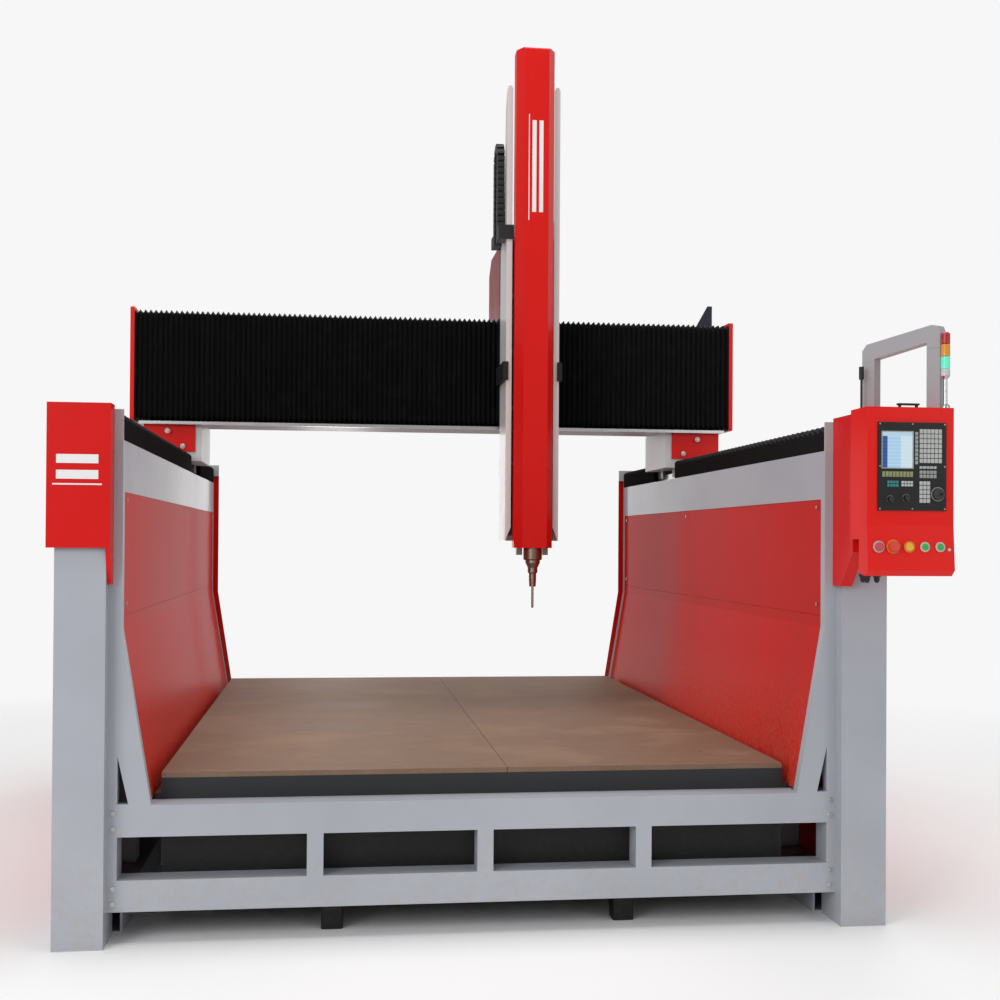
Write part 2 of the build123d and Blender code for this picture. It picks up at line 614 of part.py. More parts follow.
# Cable chain: from the carriage housing up, over a tight bend and down to a bracket on the ram.
chain_x = (ram_x - 174, ram_x - 137)
chain_y = (ram_depth[0] + 60, ram_depth[0] + 230)
chain_link = 42
bend_drop = 85              # from the top of the bend to its centre
chain_height = (2960, 3400)
with BuildPart() as energy_chain:
    for y in ((chain_y[0], chain_y[0] + chain_link), (chain_y[1] - chain_link, chain_y[1])):
        block(chain_x, y, (chain_height[0], chain_height[1] - bend_drop))
    with BuildSketch(Plane((chain_x[0], 0, 0), x_dir=(0, 1, 0), z_dir=(1, 0, 0))) as bend:
        with Locations(((chain_y[0] + chain_y[1]) / 2, chain_height[1] - bend_drop)):
            Circle((chain_y[1] - chain_y[0]) / 2)
            Circle((chain_y[1] - chain_y[0]) / 2 - chain_link, mode=Mode.SUBTRACT)
            with Locations((0, -100)):
                Rectangle(200, 200, mode=Mode.SUBTRACT)
    extrude(to_extrude=bend.sketch, amount=chain_x[1] - chain_x[0])
    block(chain_x, (chain_y[1] - chain_link, plate_y[1]), (chain_height[0] - 60, chain_height[0] - 1))
    block((chain_x[0], ram_x), (plate_y[1] - 6, plate_y[1]), (chain_height[0] - 60, chain_height[0] - 8))
save(energy_chain, "energy_chain")

ram_side = ram_x - ram_half
with BuildPart() as ram_bracket:
    block((chain_x[0], ram_side), (ram_depth[0] - 8, chain_y[0] + chain_link), (chain_height[0] - 70, chain_height[0]))
    block((chain_x[0], ram_side + 34), (ram_depth[0] - 8, ram_depth[0]), (chain_height[0] - 70, chain_height[0]))
save(ram_bracket, "chain_anchor_ram")

# ---- control station ----
# The arm stands on the right cap and carries the box on a vertical pivot at its far end.
post = (outer_half + 83, front_y - 270)
arm_foot = (outer_half - 53, front_y - 30)
arm_reach = math.dist(post, arm_foot)
arm_way = ((post[0] - arm_foot[0]) / arm_reach, (post[1] - arm_foot[1]) / arm_reach, 0)
arm_width = 36
pivot_z = 2076
arm_edge = [(-27, cap_top), (-27, 2098), (-8, 2120), (arm_reach - 8, 2158), (arm_reach + 18, 2152),
            (arm_reach + 27, 2128), (arm_reach + 27, pivot_z + gap), (arm_reach - 27, pivot_z + gap),
            (arm_reach - 27, 2098), (27, 2064), (27, cap_top)]
with BuildPart() as control_arm:
    side = Vector(*arm_way).cross(Vector(0, 0, 1))
    corner = Vector(*arm_foot, 0) - side * (arm_width / 2)
    outline(Plane(corner, x_dir=arm_way, z_dir=tuple(side)), arm_edge, arm_width)
    with Locations((*post, pivot_z)):
        Cylinder(radius=9 + gap, height=80, mode=Mode.SUBTRACT)
    with Locations((arm_foot[0] - 46, arm_foot[1] - 20, cap_top + 93)):
        Cylinder(radius=4, height=186)
        with Locations((0, 0, 70)):
            Cylinder(radius=9, height=46)
save(control_arm, "control_arm")

box_x = (outer_half - 199, outer_half + 114)
box_front = front_y - 340
box_back = front_y - 198
strip_top = 1455
strip_lean = 12
strip_normal = Vector(0, -(strip_top - box_low), strip_lean).normalized()
box_sheet = 2.5


def on_strip(x, z):
    """The working plane of one push button on the leaning lower strip."""
    y = box_front - strip_lean * (strip_top - z) / (strip_top - box_low)
    return Plane((x, y, z), x_dir=(1, 0, 0), z_dir=tuple(strip_normal))


def disc(plane, radius, low, high, mode=Mode.ADD):
    """A cylinder that stands on a plane, between two heights above it."""
    with BuildSketch(plane.offset(low)) as circle:
        Circle(radius)
    extrude(to_extrude=circle.sketch, amount=high - low, mode=mode)


button_z = 1380
stem_radius = 6
# name, place across, cap radius, cap height, bezel radius
buttons = [("power_off_button", outer_half - 160, 15, 16, 17.5), ("emergency_stop", outer_half - 108, 19, 22, 23.5),
           ("feed_hold_button", outer_half - 50, 14.5, 11, 18), ("cycle_start_button", outer_half + 6, 12, 10, 17),
           ("power_on_button", outer_half + 61, 12, 10, 17)]
box_edge = [(box_back, 1406), (box_back, box_top), (box_front, box_top), (box_front, strip_top),
            (box_front - strip_lean, box_low), (box_front + 12, box_low - 20), (box_front + 66, box_low - 12),
            (box_front + 66, 1406)]
with BuildPart() as control_box:
    outline(Plane((box_x[0], 0, 0), x_dir=(0, 1, 0), z_dir=(1, 0, 0)), box_edge, box_x[1] - box_x[0])
    offset(amount=-box_sheet, openings=control_box.faces().sort_by(Axis.Y)[-1])
    plane = Plane((*post, 0), x_dir=arm_way, z_dir=(0, 0, 1))
    with BuildSketch(plane.offset(box_top)) as foot:
        Rectangle(54, arm_width)
    extrude(to_extrude=foot.sketch, amount=pivot_z - box_top)
    with Locations((*post, pivot_z)):
        Cylinder(radius=9, height=70)
    for name, x, cap_radius, cap_height, bezel in buttons:
        disc(on_strip(x, button_z), bezel, 0, 5)
        disc(on_strip(x, button_z), cap_radius + gap, 0.5, 6, Mode.SUBTRACT)
        disc(on_strip(x, button_z), stem_radius + gap, -10, 2, Mode.SUBTRACT)
save(control_box, "control_box")

press_travel = 4
for name, x, cap_radius, cap_height, bezel in buttons:
    plane = on_strip(x, button_z)
    with BuildPart() as button:
        disc(plane, cap_radius, press_travel + 1, cap_height)
        fillet(button.edges().filter_by(GeomType.CIRCLE).sort_by(Axis.Y)[0], 3.5)
        disc(plane, stem_radius, -8, press_travel + 1)
    save(button, name)

panel_x = (outer_half - 161, outer_half + 84)
panel_z = (1505, 1808)
panel_thick = 6
screen_x = (outer_half - 148, outer_half - 36)
screen_z = (1650, 1776)
dial_face = Plane((0, box_front - panel_thick, 0), x_dir=(1, 0, 0), z_dir=(0, -1, 0))
dials = [("feed_dial", outer_half - 117, 1543, 9.5, 14, 4), ("spindle_dial", outer_half - 60, 1548, 9.5, 14, 4),
         ("handwheel", outer_half + 53, 1562, 20, 12, 5)]
with BuildPart() as control_panel:
    block(panel_x, (box_front - panel_thick, box_front), panel_z)
    block(screen_x, (box_front - panel_thick, box_front - panel_thick + 2), screen_z, mode=Mode.SUBTRACT)
    for name, x, z, radius, height, shaft in dials:
        with Locations((x, box_front - panel_thick / 2, z)):
            Cylinder(radius=shaft + gap, height=20, rotation=(90, 0, 0), mode=Mode.SUBTRACT)
save(control_panel, "control_panel")

for name, x, z, radius, height, shaft in dials:
    plane = Plane((x, box_front - panel_thick, z), x_dir=(1, 0, 0), z_dir=(0, -1, 0))
    with BuildPart() as dial:
        disc(plane, radius, gap, height)
        fillet(dial.edges().filter_by(GeomType.CIRCLE).sort_by(Axis.Y)[0], 1.5)
        disc(plane, shaft, -panel_thick + gap, gap)
        if name == "handwheel":
            disc(Plane((x + 11, plane.origin.Y, z), x_dir=(1, 0, 0), z_dir=(0, -1, 0)), 4, height, height + 14)
    save(dial, name)

tower = (outer_half + 92, front_y - 321)
tower_bands = (1971, 2040, 2084, 2126)
with BuildPart() as signal_tower:
    with Locations((*tower, box_top)):
        Cone(bottom_radius=16, top_radius=6, height=30, align=(Align.CENTER, Align.CENTER, Align.MIN))
    with Locations((*tower, box_top + 30)):
        Cylinder(radius=6, height=tower_bands[0] - box_top - 30, align=(Align.CENTER, Align.CENTER, Align.MIN))
    with Locations((*tower, tower_bands[0])):
        Cylinder(radius=15, height=tower_bands[3] - tower_bands[0], align=(Align.CENTER, Align.CENTER, Align.MIN))
    for z in tower_bands[1:3]:
        with Locations((*tower, z)):
            Torus(major_radius=15, minor_radius=1, mode=Mode.SUBTRACT)
save(signal_tower, "signal_tower")
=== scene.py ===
import math

import bmesh
import bpy
import numpy as np
from mathutils import Matrix, Vector


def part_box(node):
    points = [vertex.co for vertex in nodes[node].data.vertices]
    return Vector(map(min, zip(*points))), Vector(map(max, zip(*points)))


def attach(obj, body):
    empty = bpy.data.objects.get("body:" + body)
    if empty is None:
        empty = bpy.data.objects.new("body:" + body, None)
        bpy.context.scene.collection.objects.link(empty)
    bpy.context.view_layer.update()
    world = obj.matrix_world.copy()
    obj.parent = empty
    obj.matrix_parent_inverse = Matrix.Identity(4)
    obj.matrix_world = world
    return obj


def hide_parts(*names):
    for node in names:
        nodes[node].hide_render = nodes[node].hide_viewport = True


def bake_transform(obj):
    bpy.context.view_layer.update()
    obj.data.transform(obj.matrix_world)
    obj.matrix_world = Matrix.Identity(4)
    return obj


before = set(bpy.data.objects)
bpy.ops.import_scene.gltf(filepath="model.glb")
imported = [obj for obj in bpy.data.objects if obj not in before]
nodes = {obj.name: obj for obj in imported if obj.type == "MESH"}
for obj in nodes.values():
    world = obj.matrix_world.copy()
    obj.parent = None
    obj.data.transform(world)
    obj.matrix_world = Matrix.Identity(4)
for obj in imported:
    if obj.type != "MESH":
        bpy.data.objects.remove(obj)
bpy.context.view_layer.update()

# ------------------------------------------------------------------ painted frame
# Welded side frames, end lattices and station arm in light grey powder coat:
# a fine orange peel, a faint cloudiness and some shop dust near the floor.

GREY = (0.45, 0.47, 0.52)
ARM_GREY_DARK, ARM_GREY = (0.40, 0.41, 0.43), (0.44, 0.45, 0.47)
BULKHEAD_GREY = (0.5, 0.51, 0.54)
ROD_BLACK = (0.012, 0.012, 0.013)
ROD_EDGE_X = (1.3845, 1.3855)  # the aerial rod lies left of this
FLOOR_DUST = (0.42, 0.33, 0.24)
DUST_TOP = 0.5
PEEL_SCALE = 420.0
FRAME_BEVEL = 0.004
EDGE_ANGLE = math.radians(35)

MIX_COLOUR_OUT = 2  # index of a mix node's colour output


class Socket:
    """A shader socket with arithmetic, so that a material reads as a formula."""

    def __init__(self, tree, socket):
        self.tree = tree
        self.socket = socket

    def __add__(self, other):
        return self.tree.math("ADD", self, other)

    def __radd__(self, other):
        return self.tree.math("ADD", other, self)

    def __sub__(self, other):
        return self.tree.math("SUBTRACT", self, other)

    def __rsub__(self, other):
        return self.tree.math("SUBTRACT", other, self)

    def __mul__(self, other):
        return self.tree.math("MULTIPLY", self, other)

    def __rmul__(self, other):
        return self.tree.math("MULTIPLY", other, self)

    def __truediv__(self, other):
        return self.tree.math("DIVIDE", self, other)

    def above(self, low, high):
        """0 below low, 1 above high and a straight line between."""
        return self.tree.node("ShaderNodeMapRange", {"clamp": True}, "Result", **{
            "Value": self, "From Min": low, "From Max": high, "To Min": 0.0, "To Max": 1.0})


class NodeTree:
    """A shader node tree: node() makes every node and returns its output as a Socket."""

    def __init__(self, owner):
        owner.use_nodes = True
        self.nodes = owner.node_tree.nodes
        self.links = owner.node_tree.links
        self.place = None

    def node(self, kind, settings, output, **inputs):
        """A node of a kind with its settings. An input is named, or iN for the one at index N."""
        made = self.nodes.new(kind)
        for key, value in settings.items():
            setattr(made, key, value)
        for key, value in inputs.items():
            by_index = key[0] == "i" and key[1:].isdigit()
            self.feed(made.inputs[int(key[1:]) if by_index else key], value)
        return Socket(self, made.outputs[output])

    def feed(self, entry, value):
        """Links a Socket to an input, or sets the input to a constant."""
        if isinstance(value, Socket):
            self.links.new(value.socket, entry)
        elif entry.type == "RGBA":
            entry.default_value = (*value, 1.0)
        else:
            entry.default_value = value

    def math(self, operation, first, second=0.0):
        return self.node("ShaderNodeMath", {"operation": operation}, "Value", i0=first, i1=second)

    def position(self):
        """Object-space position, which is the machine's own frame in metres."""
        if self.place is None:
            self.place = self.node("ShaderNodeTexCoord", {}, "Object")
        return self.place

    def axis(self, name):
        return self.node("ShaderNodeSeparateXYZ", {}, name, Vector=self.position())

    def noise(self, scale, detail=3.0, rough=0.5, stretch=(1, 1, 1)):
        place = self.node("ShaderNodeMapping", {}, "Vector", Vector=self.position(), Scale=stretch)
        return self.node("ShaderNodeTexNoise", {}, "Fac", Vector=place, Scale=scale, Detail=detail,
                         Roughness=rough)

    def mix(self, amount, first, second):
        """A colour between two, by amount."""
        return self.node("ShaderNodeMix", {"data_type": "RGBA"}, MIX_COLOUR_OUT, i0=amount, i6=first, i7=second)

    def bump(self, height, distance):
        return self.node("ShaderNodeBump", {}, "Normal", Height=height, Distance=distance, Strength=1.0)


class Material(NodeTree):
    """A material with one principled shader, which shader() fills."""

    def __init__(self, name):
        self.data = bpy.data.materials.new(name)
        super().__init__(self.data)

    def shader(self, **inputs):
        principled = self.nodes["Principled BSDF"]
        for key, value in inputs.items():
            self.feed(principled.inputs[key.replace("_", " ")], value)
        return self.data


def paint(name, colour, roughness, coat=0.0, dust=0.0, peel=0.00004, cloud=0.12, shine=0.35):
    """Sprayed or powder-coated metal."""
    made = Material(name)
    cloudy = made.noise(2.2, 4.0)
    darker = [channel * (1 - cloud) for channel in colour]
    base = made.mix(cloudy.above(0.3, 0.7), darker, colour)
    if dust:
        low = 1.0 - made.axis("Z").above(0.0, DUST_TOP)
        specks = made.noise(34.0, 5.0, 0.7).above(0.45, 0.75)
        base = made.mix(low * specks * dust, base, FLOOR_DUST)
    grain = made.noise(PEEL_SCALE, 2.0)
    rough = roughness + (made.noise(9.0, 4.0) - 0.5) * 0.14
    return made.shader(Base_Color=base, Roughness=rough, Coat_Weight=coat, Coat_Roughness=0.12,
                       Specular_IOR_Level=shine, Normal=made.bump(grain, peel))


def finish(node, material, bevel=0.002, segments=2):
    """Gives a CAD node its material and small rounded edges."""
    piece = nodes[node]
    piece.data.materials.clear()
    piece.data.materials.append(material)
    if bevel:
        edge = piece.modifiers.new("edges", "BEVEL")
        edge.width = bevel
        edge.segments = segments
        edge.limit_method = "ANGLE"
        edge.angle_limit = EDGE_ANGLE
        edge.harden_normals = True
    return piece


grey_paint = paint("grey powder coat", GREY, 0.42, coat=0.15, dust=0.5)
for node in ("pillars", "side_frames", "end_braces", "front_lattice", "back_lattice", "top_beams"):
    finish(node, grey_paint, FRAME_BEVEL)


def arm_paint():
    """Light grey on the arm and matt black on the short aerial rod beside its foot."""
    made = Material("arm paint")
    rod = 1.0 - made.axis("X").above(*ROD_EDGE_X)
    base = made.mix(made.noise(2.2, 4.0), ARM_GREY_DARK, ARM_GREY)
    base = made.mix(rod, base, ROD_BLACK)
    rough = 0.4 + (made.noise(9.0, 4.0) - 0.5) * 0.12
    return made.shader(Base_Color=base, Roughness=rough, Coat_Weight=0.1, Specular_IOR_Level=0.35,
                       Normal=made.bump(made.noise(PEEL_SCALE, 2.0), 0.00004))


finish("control_arm", arm_paint(), 0.005, 3)
finish("bellows_bulkheads", paint("bulkhead grey", BULKHEAD_GREY, 0.36), 0.003)

# ------------------------------------------------------------------ wall panels and caps
# Deep red sheet panels line both faces of each wall, satin and slightly wavy.
# Glossy red folded caps, saddle covers and end plates close the front ends and the bridge.

RED = (0.72, 0.010, 0.009)
PANEL_RED = (0.66, 0.010, 0.006)
WOOD_DUST = (0.5, 0.3, 0.17)
WOOD_DUST_Z = (0.5, 0.95)  # full dust below, none above
red_gloss = paint("gloss red", RED, 0.3, coat=0.08, peel=0.00003, cloud=0.05, shine=0.16)


def satin_panel(name, colour, dust):
    """Satin sheet with slow waves and dust settled low down."""
    made = Material(name)
    waves = made.noise(1.3, 2.0, 0.4, (1, 1, 0.25))
    low = 1.0 - made.axis("Z").above(*WOOD_DUST_Z)
    specks = made.noise(60.0, 6.0, 0.8).above(0.4, 0.8)
    base = made.mix(waves.above(0.35, 0.7), [c * 0.82 for c in colour], colour)
    base = made.mix(low * specks * dust, base, WOOD_DUST)
    rough = 0.42 + (waves - 0.5) * 0.16
    height = made.noise(300.0, 2.0) * 0.02 + waves
    return made.shader(Base_Color=base, Roughness=rough, Specular_IOR_Level=0.04,
                       Normal=made.bump(height, 0.002))


finish("inner_panels", satin_panel("satin red panel", PANEL_RED, 0.5), 0.001)
finish("outer_panels", satin_panel("satin red outer panel", PANEL_RED, 0.12), 0.001)
for node in ("cap_left", "cap_right", "saddle_covers", "bridge_end_plates"):
    finish(node, red_gloss, 0.003, 3)

# ------------------------------------------------------------------ bed
# A dark composite slab lies on a black welded frame and legs between the end lattices.
# Brown spoilboards on it are fibrous and stained by use.

FIBRE_DARK, FIBRE_PALE = (0.15, 0.085, 0.05), (0.26, 0.16, 0.10)
STAIN = (0.36, 0.24, 0.15)
CHIP = (0.48, 0.3, 0.16)
SLAB_GREY = (0.028, 0.029, 0.031)
BED_BLACK = (0.004, 0.004, 0.0045)


def board_material():
    """Pressed board: fibres along the bed, broad stains and small pale chips."""
    made = Material("spoilboard")
    fibres = made.noise(6.0, 6.0, 0.6, (1, 14, 1))
    stains = made.noise(2.0, 5.0, 0.6)
    base = made.mix(fibres, FIBRE_DARK, FIBRE_PALE)
    base = made.mix(stains.above(0.5, 0.7) * 0.55, base, STAIN)
    base = made.mix(made.noise(220.0, 3.0).above(0.6, 0.75) * 0.5, base, CHIP)
    return made.shader(Base_Color=base, Roughness=0.45 + stains * 0.35, Normal=made.bump(fibres, 0.0006))


finish("spoilboard", board_material(), 0.001)
slab_dark = paint("composite slab", SLAB_GREY, 0.45, dust=0.15, peel=0.0001)
finish("table_slab", slab_dark, 0.002)
black_paint = paint("black paint", BED_BLACK, 0.5, dust=0.04)
finish("bed_frame", black_paint, 0.003)
finish("bed_legs", black_paint, 0.003)

# ------------------------------------------------------------------ folded bellows
# Black coated cloth in sharp pleats covers the ways on both walls and on the bridge's front.
# Each run is a row of short pieces.

FRONT_PLEAT = 0.056
BACK_PLEAT = 0.028
BRIDGE_PLEAT = 0.026
FOLD = 0.016  # depth of a valley
CLOTH = 0.0012
WAY_COVER = 0.204  # width over a wall's ways
WAY_CORNER = 0.012
BRIDGE_CORNER = 0.014
FRONT_PIECES, BACK_PIECES = 10, 5
LEFT_PIECES, RIGHT_PIECES = 9, 6
CLOTH_BLACK, CLOTH_DUST = (0.004, 0.004, 0.0045), (0.018, 0.016, 0.015)


def cloth_material():
    """Black coated cloth with a fine weave and a little dust."""
    made = Material("bellows cloth")
    weave = made.node("ShaderNodeTexWave", {"wave_type": "BANDS", "bands_direction": "DIAGONAL"}, "Fac",
                      Vector=made.position(), Scale=900.0, Distortion=0.4)
    dust = made.noise(14.0, 5.0, 0.7).above(0.5, 0.8)
    base = made.mix(dust * 0.2, CLOTH_BLACK, CLOTH_DUST)
    return made.shader(Base_Color=base, Roughness=0.5 + dust * 0.2, Specular_IOR_Level=0.18,
                       Normal=made.bump(weave, 0.0002))


bellows_cloth = cloth_material()


def mesh_object(name, vertices, faces, material, smooth=False):
    data = bpy.data.meshes.new(name)
    data.from_pydata([tuple(v) for v in vertices], [], [tuple(f) for f in faces])
    data.validate()
    tidy = bmesh.new()
    tidy.from_mesh(data)
    bmesh.ops.recalc_face_normals(tidy, faces=tidy.faces)
    tidy.to_mesh(data)
    tidy.free()
    data.materials.append(material)
    if smooth:
        data.polygons.foreach_set("use_smooth", [True] * len(data.polygons))
        data.update()
    made = bpy.data.objects.new(name, data)
    bpy.context.scene.collection.objects.link(made)
    return made


def pleats(name, section, inward, along, low, high, pitch, material):
    """An open section swept along one axis as a zigzag: each fold steps in by inward at its valleys.

    section is a list of 2-D points across the run, inward the matching list of valley offsets."""
    count = max(1, round((high - low) / pitch))
    stations = []
    for n in range(2 * count + 1):
        place = low + (high - low) * n / (2 * count)
        stations.append((place, n % 2))
    other = [axis for axis in range(3) if axis != along]
    vertices = []
    for layer in (0.0, 1.0):
        for place, valley in stations:
            for point, step in zip(section, inward):
                spot = [0.0, 0.0, 0.0]
                spot[along] = place
                for index, axis in enumerate(other):
                    spot[axis] = point[index] + step[index] * (valley + layer * CLOTH / FOLD)
                vertices.append(spot)
    wide = len(section)
    tall = len(stations)
    faces = []
    for layer in (0, 1):
        start = layer * wide * tall
        for row in range(tall - 1):
            for column in range(wide - 1):
                a = start + row * wide + column
                faces.append((a, a + 1, a + wide + 1, a + wide))
    shift = wide * tall
    for row in range(tall - 1):
        for column in (0, wide - 1):
            a = row * wide + column
            faces.append((a, a + wide, a + wide + shift, a + shift))
    for row in (0, tall - 1):
        for column in range(wide - 1):
            a = row * wide + column
            faces.append((a, a + 1, a + 1 + shift, a + shift))
    return mesh_object(name, vertices, faces, material)


def even_blend(piece, fixed, moving, centre):
    """Bakes one short piece of a run in place; no blend is set up.

    turn is where a smoothstep would reach the piece's share of the motion, and reach makes its slope there the
    same as the whole run's. Both are worked out but not used."""
    length = moving - fixed
    share = (centre - fixed) / length
    turn = 0.5 - math.sin(math.asin(1 - 2 * share) / 3)
    slope = 6 * turn * (1 - turn)
    reach = slope * length
    start = centre - turn * reach
    for place in (start, start + reach):
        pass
    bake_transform(piece)


def bellows_run(name, node, section, inward, along, fixed, moving, pieces, pitch):
    """A whole run of pleats along one axis, from its fixed end to the end that travels."""
    edges = np.linspace(fixed, moving, pieces + 1)
    for n in range(pieces):
        low, high = sorted(edges[n:n + 2])
        piece = pleats(f"{name}_{n + 1}", section, inward, along, low, high, pitch, bellows_cloth)
        even_blend(piece, fixed, moving, (low + high) / 2)
        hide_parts(node)


for node, fixed_end, pieces, pitch in (("y_bellows_front", 0, FRONT_PIECES, FRONT_PLEAT),
                                       ("y_bellows_back", 1, BACK_PIECES, BACK_PLEAT)):
    low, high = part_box(node)
    ends = (low[1], high[1])
    bottom, top = low[2] + 0.001, high[2]
    near, far = abs(high[0]) - WAY_COVER, abs(high[0])
    inward = [(FOLD, 0), (FOLD, -FOLD), (FOLD, -FOLD), (-FOLD, -FOLD), (-FOLD, -FOLD), (-FOLD, 0)]
    section = [(near, bottom), (near, top - WAY_CORNER), (near + WAY_CORNER, top),
               (far - WAY_CORNER, top), (far, top - WAY_CORNER), (far, bottom)]
    for side, label in ((-1, "left"), (1, "right")):
        bellows_run(f"wall_bellows_{label}_{node[10:]}", node, [(side * x, z) for x, z in section],
                    [(side * x, z) for x, z in inward], 1, ends[fixed_end], ends[1 - fixed_end],
                    pieces, pitch)

for node, fixed_end, pieces in (("x_bellows_left", 0, LEFT_PIECES), ("x_bellows_right", 1, RIGHT_PIECES)):
    low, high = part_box(node)
    ends = (low[0], high[0])
    front, back = low[1], high[1]
    bottom, top = low[2], high[2]
    section = [(back, top), (front + BRIDGE_CORNER, top), (front, top - BRIDGE_CORNER),
               (front, bottom + BRIDGE_CORNER), (front + BRIDGE_CORNER, bottom), (back, bottom)]
    inward = [(0, -FOLD), (FOLD, -FOLD), (FOLD, -FOLD), (FOLD, FOLD), (FOLD, FOLD), (0, FOLD)]
    bellows_run("bridge_" + node[2:], node, section, inward, 0, ends[fixed_end], ends[1 - fixed_end],
                pieces, BRIDGE_PLEAT)

# ------------------------------------------------------------------ ways, racks and drives
# Ground steel rails and racks, blued guide blocks and small black geared motors,
# all bolted to the welded frames.

GROUND = (0.55, 0.55, 0.56)
BLUED = (0.16, 0.16, 0.17)
CAST = (0.02, 0.02, 0.022)
CUT_STEEL = (0.5, 0.5, 0.5)


def steel_material(name, colour, roughness, scratch=(1, 1, 1), oil=0.25):
    """Machined steel: fine tool marks along one direction and a thin uneven film of oil."""
    made = Material(name)
    marks = made.noise(160.0, 4.0, 0.6, scratch)
    film = made.noise(7.0, 4.0, 0.6)
    base = made.mix(film.above(0.4, 0.7) * oil, colour, [c * 0.55 for c in colour])
    rough = roughness + (marks - 0.5) * 0.25
    return made.shader(Base_Color=base, Metallic=1.0, Roughness=rough, Normal=made.bump(marks, 0.0001))


rail_steel = steel_material("ground steel", GROUND, 0.3, (1, 0.05, 1))
dark_steel = steel_material("dark steel", BLUED, 0.4)
cast_black = paint("cast black", CAST, 0.5, peel=0.0002)
finish("y_ways", rail_steel, 0)
finish("x_ways", rail_steel, 0)
finish("z_rails", rail_steel, 0.001)
for node in ("y_guide_blocks", "x_guide_blocks", "z_guide_blocks"):
    finish(node, dark_steel, 0.002)
for node in ("y_gearmotors", "x_gearmotor", "z_motor"):
    finish(node, cast_black, 0.002)
for node in ("y_pinion_left", "y_pinion_right", "x_pinion", "z_screw"):
    finish(node, steel_material(node.replace("_", " "), CUT_STEEL, 0.32), 0)

# ------------------------------------------------------------------ bridge
# A welded box beam on two cast saddles, with red end plates, a ground strip under its bellows and a
# dark upstand that carries the cables at the right. Plated and blackened screws hold covers and frames.

BEAM_GREY, SADDLE_WHITE, STRIP_STEEL = (0.55, 0.56, 0.58), (0.66, 0.67, 0.69), (0.6, 0.6, 0.6)
UPSTAND_BLUE = (0.012, 0.014, 0.03)
BLACKENED, PLATED = (0.05, 0.05, 0.052), (0.55, 0.54, 0.5)
SHEET_SCREW = (0.008, 0.003)  # radius and height
INNER_SCREW = (0.007, 0.003)
INNER_FACE_X = 1.2515
INNER_TOP_Z, INNER_LOW_Z = 1.525, 1.165
INNER_START_Y, INNER_RUN = -1.62, 3.2
LATTICE_BOLT = (0.009, 0.004)
LATTICE_BOLT_X = 1.278
LATTICE_BOLT_Z = (0.140, 0.192, 0.396, 0.450)
COVER_SCREW_XZ = ((1.372, 1.938), (1.296, 1.862))
COVER_SCREW = ((0.013, 0.0), (0.013, 0.0015), (0.009, 0.0015), (0.009, 0.005), (0.007, 0.0065), (0.004, 0.0065))
SADDLE_SCREW = (0.008, 0.008)
SADDLE_SCREW_Y, SADDLE_SCREW_Z = (0.50, 0.62, 0.74, 0.86), (1.83, 1.93)
END_SCREW = (0.010, 0.002)
END_SCREW_Z = (2.03, 2.18, 2.36, 2.51)

finish("bridge_beam", paint("bridge grey", BEAM_GREY, 0.4), 0.006, 3)
finish("saddles", paint("saddle white", SADDLE_WHITE, 0.42, coat=0.1), 0.004, 3)
finish("bridge_strip", steel_material("way strip", STRIP_STEEL, 0.28, (0.05, 1, 1)), 0.001)
finish("cable_upstand", paint("upstand blue", UPSTAND_BLUE, 0.4), 0.001)


def revolve(profile, sides=32):
    """Vertices and faces of a turned solid about Z from (radius, height) pairs, closed at both ends."""
    vertices, faces = [], []
    for radius, height in profile:
        for n in range(sides):
            turn = 2 * math.pi * n / sides
            vertices.append((radius * math.cos(turn), radius * math.sin(turn), height))
    for ring in range(len(profile) - 1):
        for n in range(sides):
            a = ring * sides + n
            b = ring * sides + (n + 1) % sides
            faces.append((a, b, b + sides, a + sides))
    faces.append(tuple(range(sides))[::-1])
    last = (len(profile) - 1) * sides
    faces.append(tuple(range(last, last + sides)))
    return vertices, faces


class Build:
    """Gathers turned and boxed shapes into one mesh, each moved by a matrix."""

    def __init__(self):
        self.vertices = []
        self.faces = []

    def add(self, shape, place=Matrix.Identity(4)):
        start = len(self.vertices)
        self.vertices += [place @ Vector(v) for v in shape[0]]
        self.faces += [tuple(start + i for i in face) for face in shape[1]]

    def box(self, x, y, z, edge=0.0, place=Matrix.Identity(4)):
        """A block between (low, high) pairs, with all its edges rounded by edge, or square at 0."""
        made = bmesh.new()
        bmesh.ops.create_cube(made, size=1.0)
        for vertex in made.verts:
            vertex.co = Vector((x[0] + (vertex.co.x + 0.5) * (x[1] - x[0]),
                                y[0] + (vertex.co.y + 0.5) * (y[1] - y[0]),
                                z[0] + (vertex.co.z + 0.5) * (z[1] - z[0])))
        if edge:
            bmesh.ops.bevel(made, geom=list(made.edges), offset=edge, segments=2, affect="EDGES", profile=0.6)
        made.verts.index_update()
        self.add(([v.co.copy() for v in made.verts], [[v.index for v in f.verts] for f in made.faces]), place)
        made.free()

    def object(self, name, material, body, slot, smooth=False, replaced=()):
        made = mesh_object(name, self.vertices, self.faces, material)
        if smooth:
            made.data.polygons.foreach_set("use_smooth", [True] * len(made.data.polygons))
            made.data.set_sharp_from_angle(angle=EDGE_ANGLE)
        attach(made, body)
        if replaced:
            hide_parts(*replaced)
        return made


def facing(x, y, z, normal):
    """A placing matrix whose local Z points along normal."""
    return Matrix.Translation((x, y, z)) @ Vector(normal).to_track_quat("Z", "Y").to_matrix().to_4x4()


def cap_screw(radius, height):
    """A socket-head screw with a rounded top and a recessed hexagon."""
    head = [(radius * 0.98, 0.0), (radius, height * 0.15), (radius, height * 0.8), (radius * 0.9, height),
            (radius * 0.5, height), (radius * 0.47, height * 0.4)]
    return revolve(head, 18)


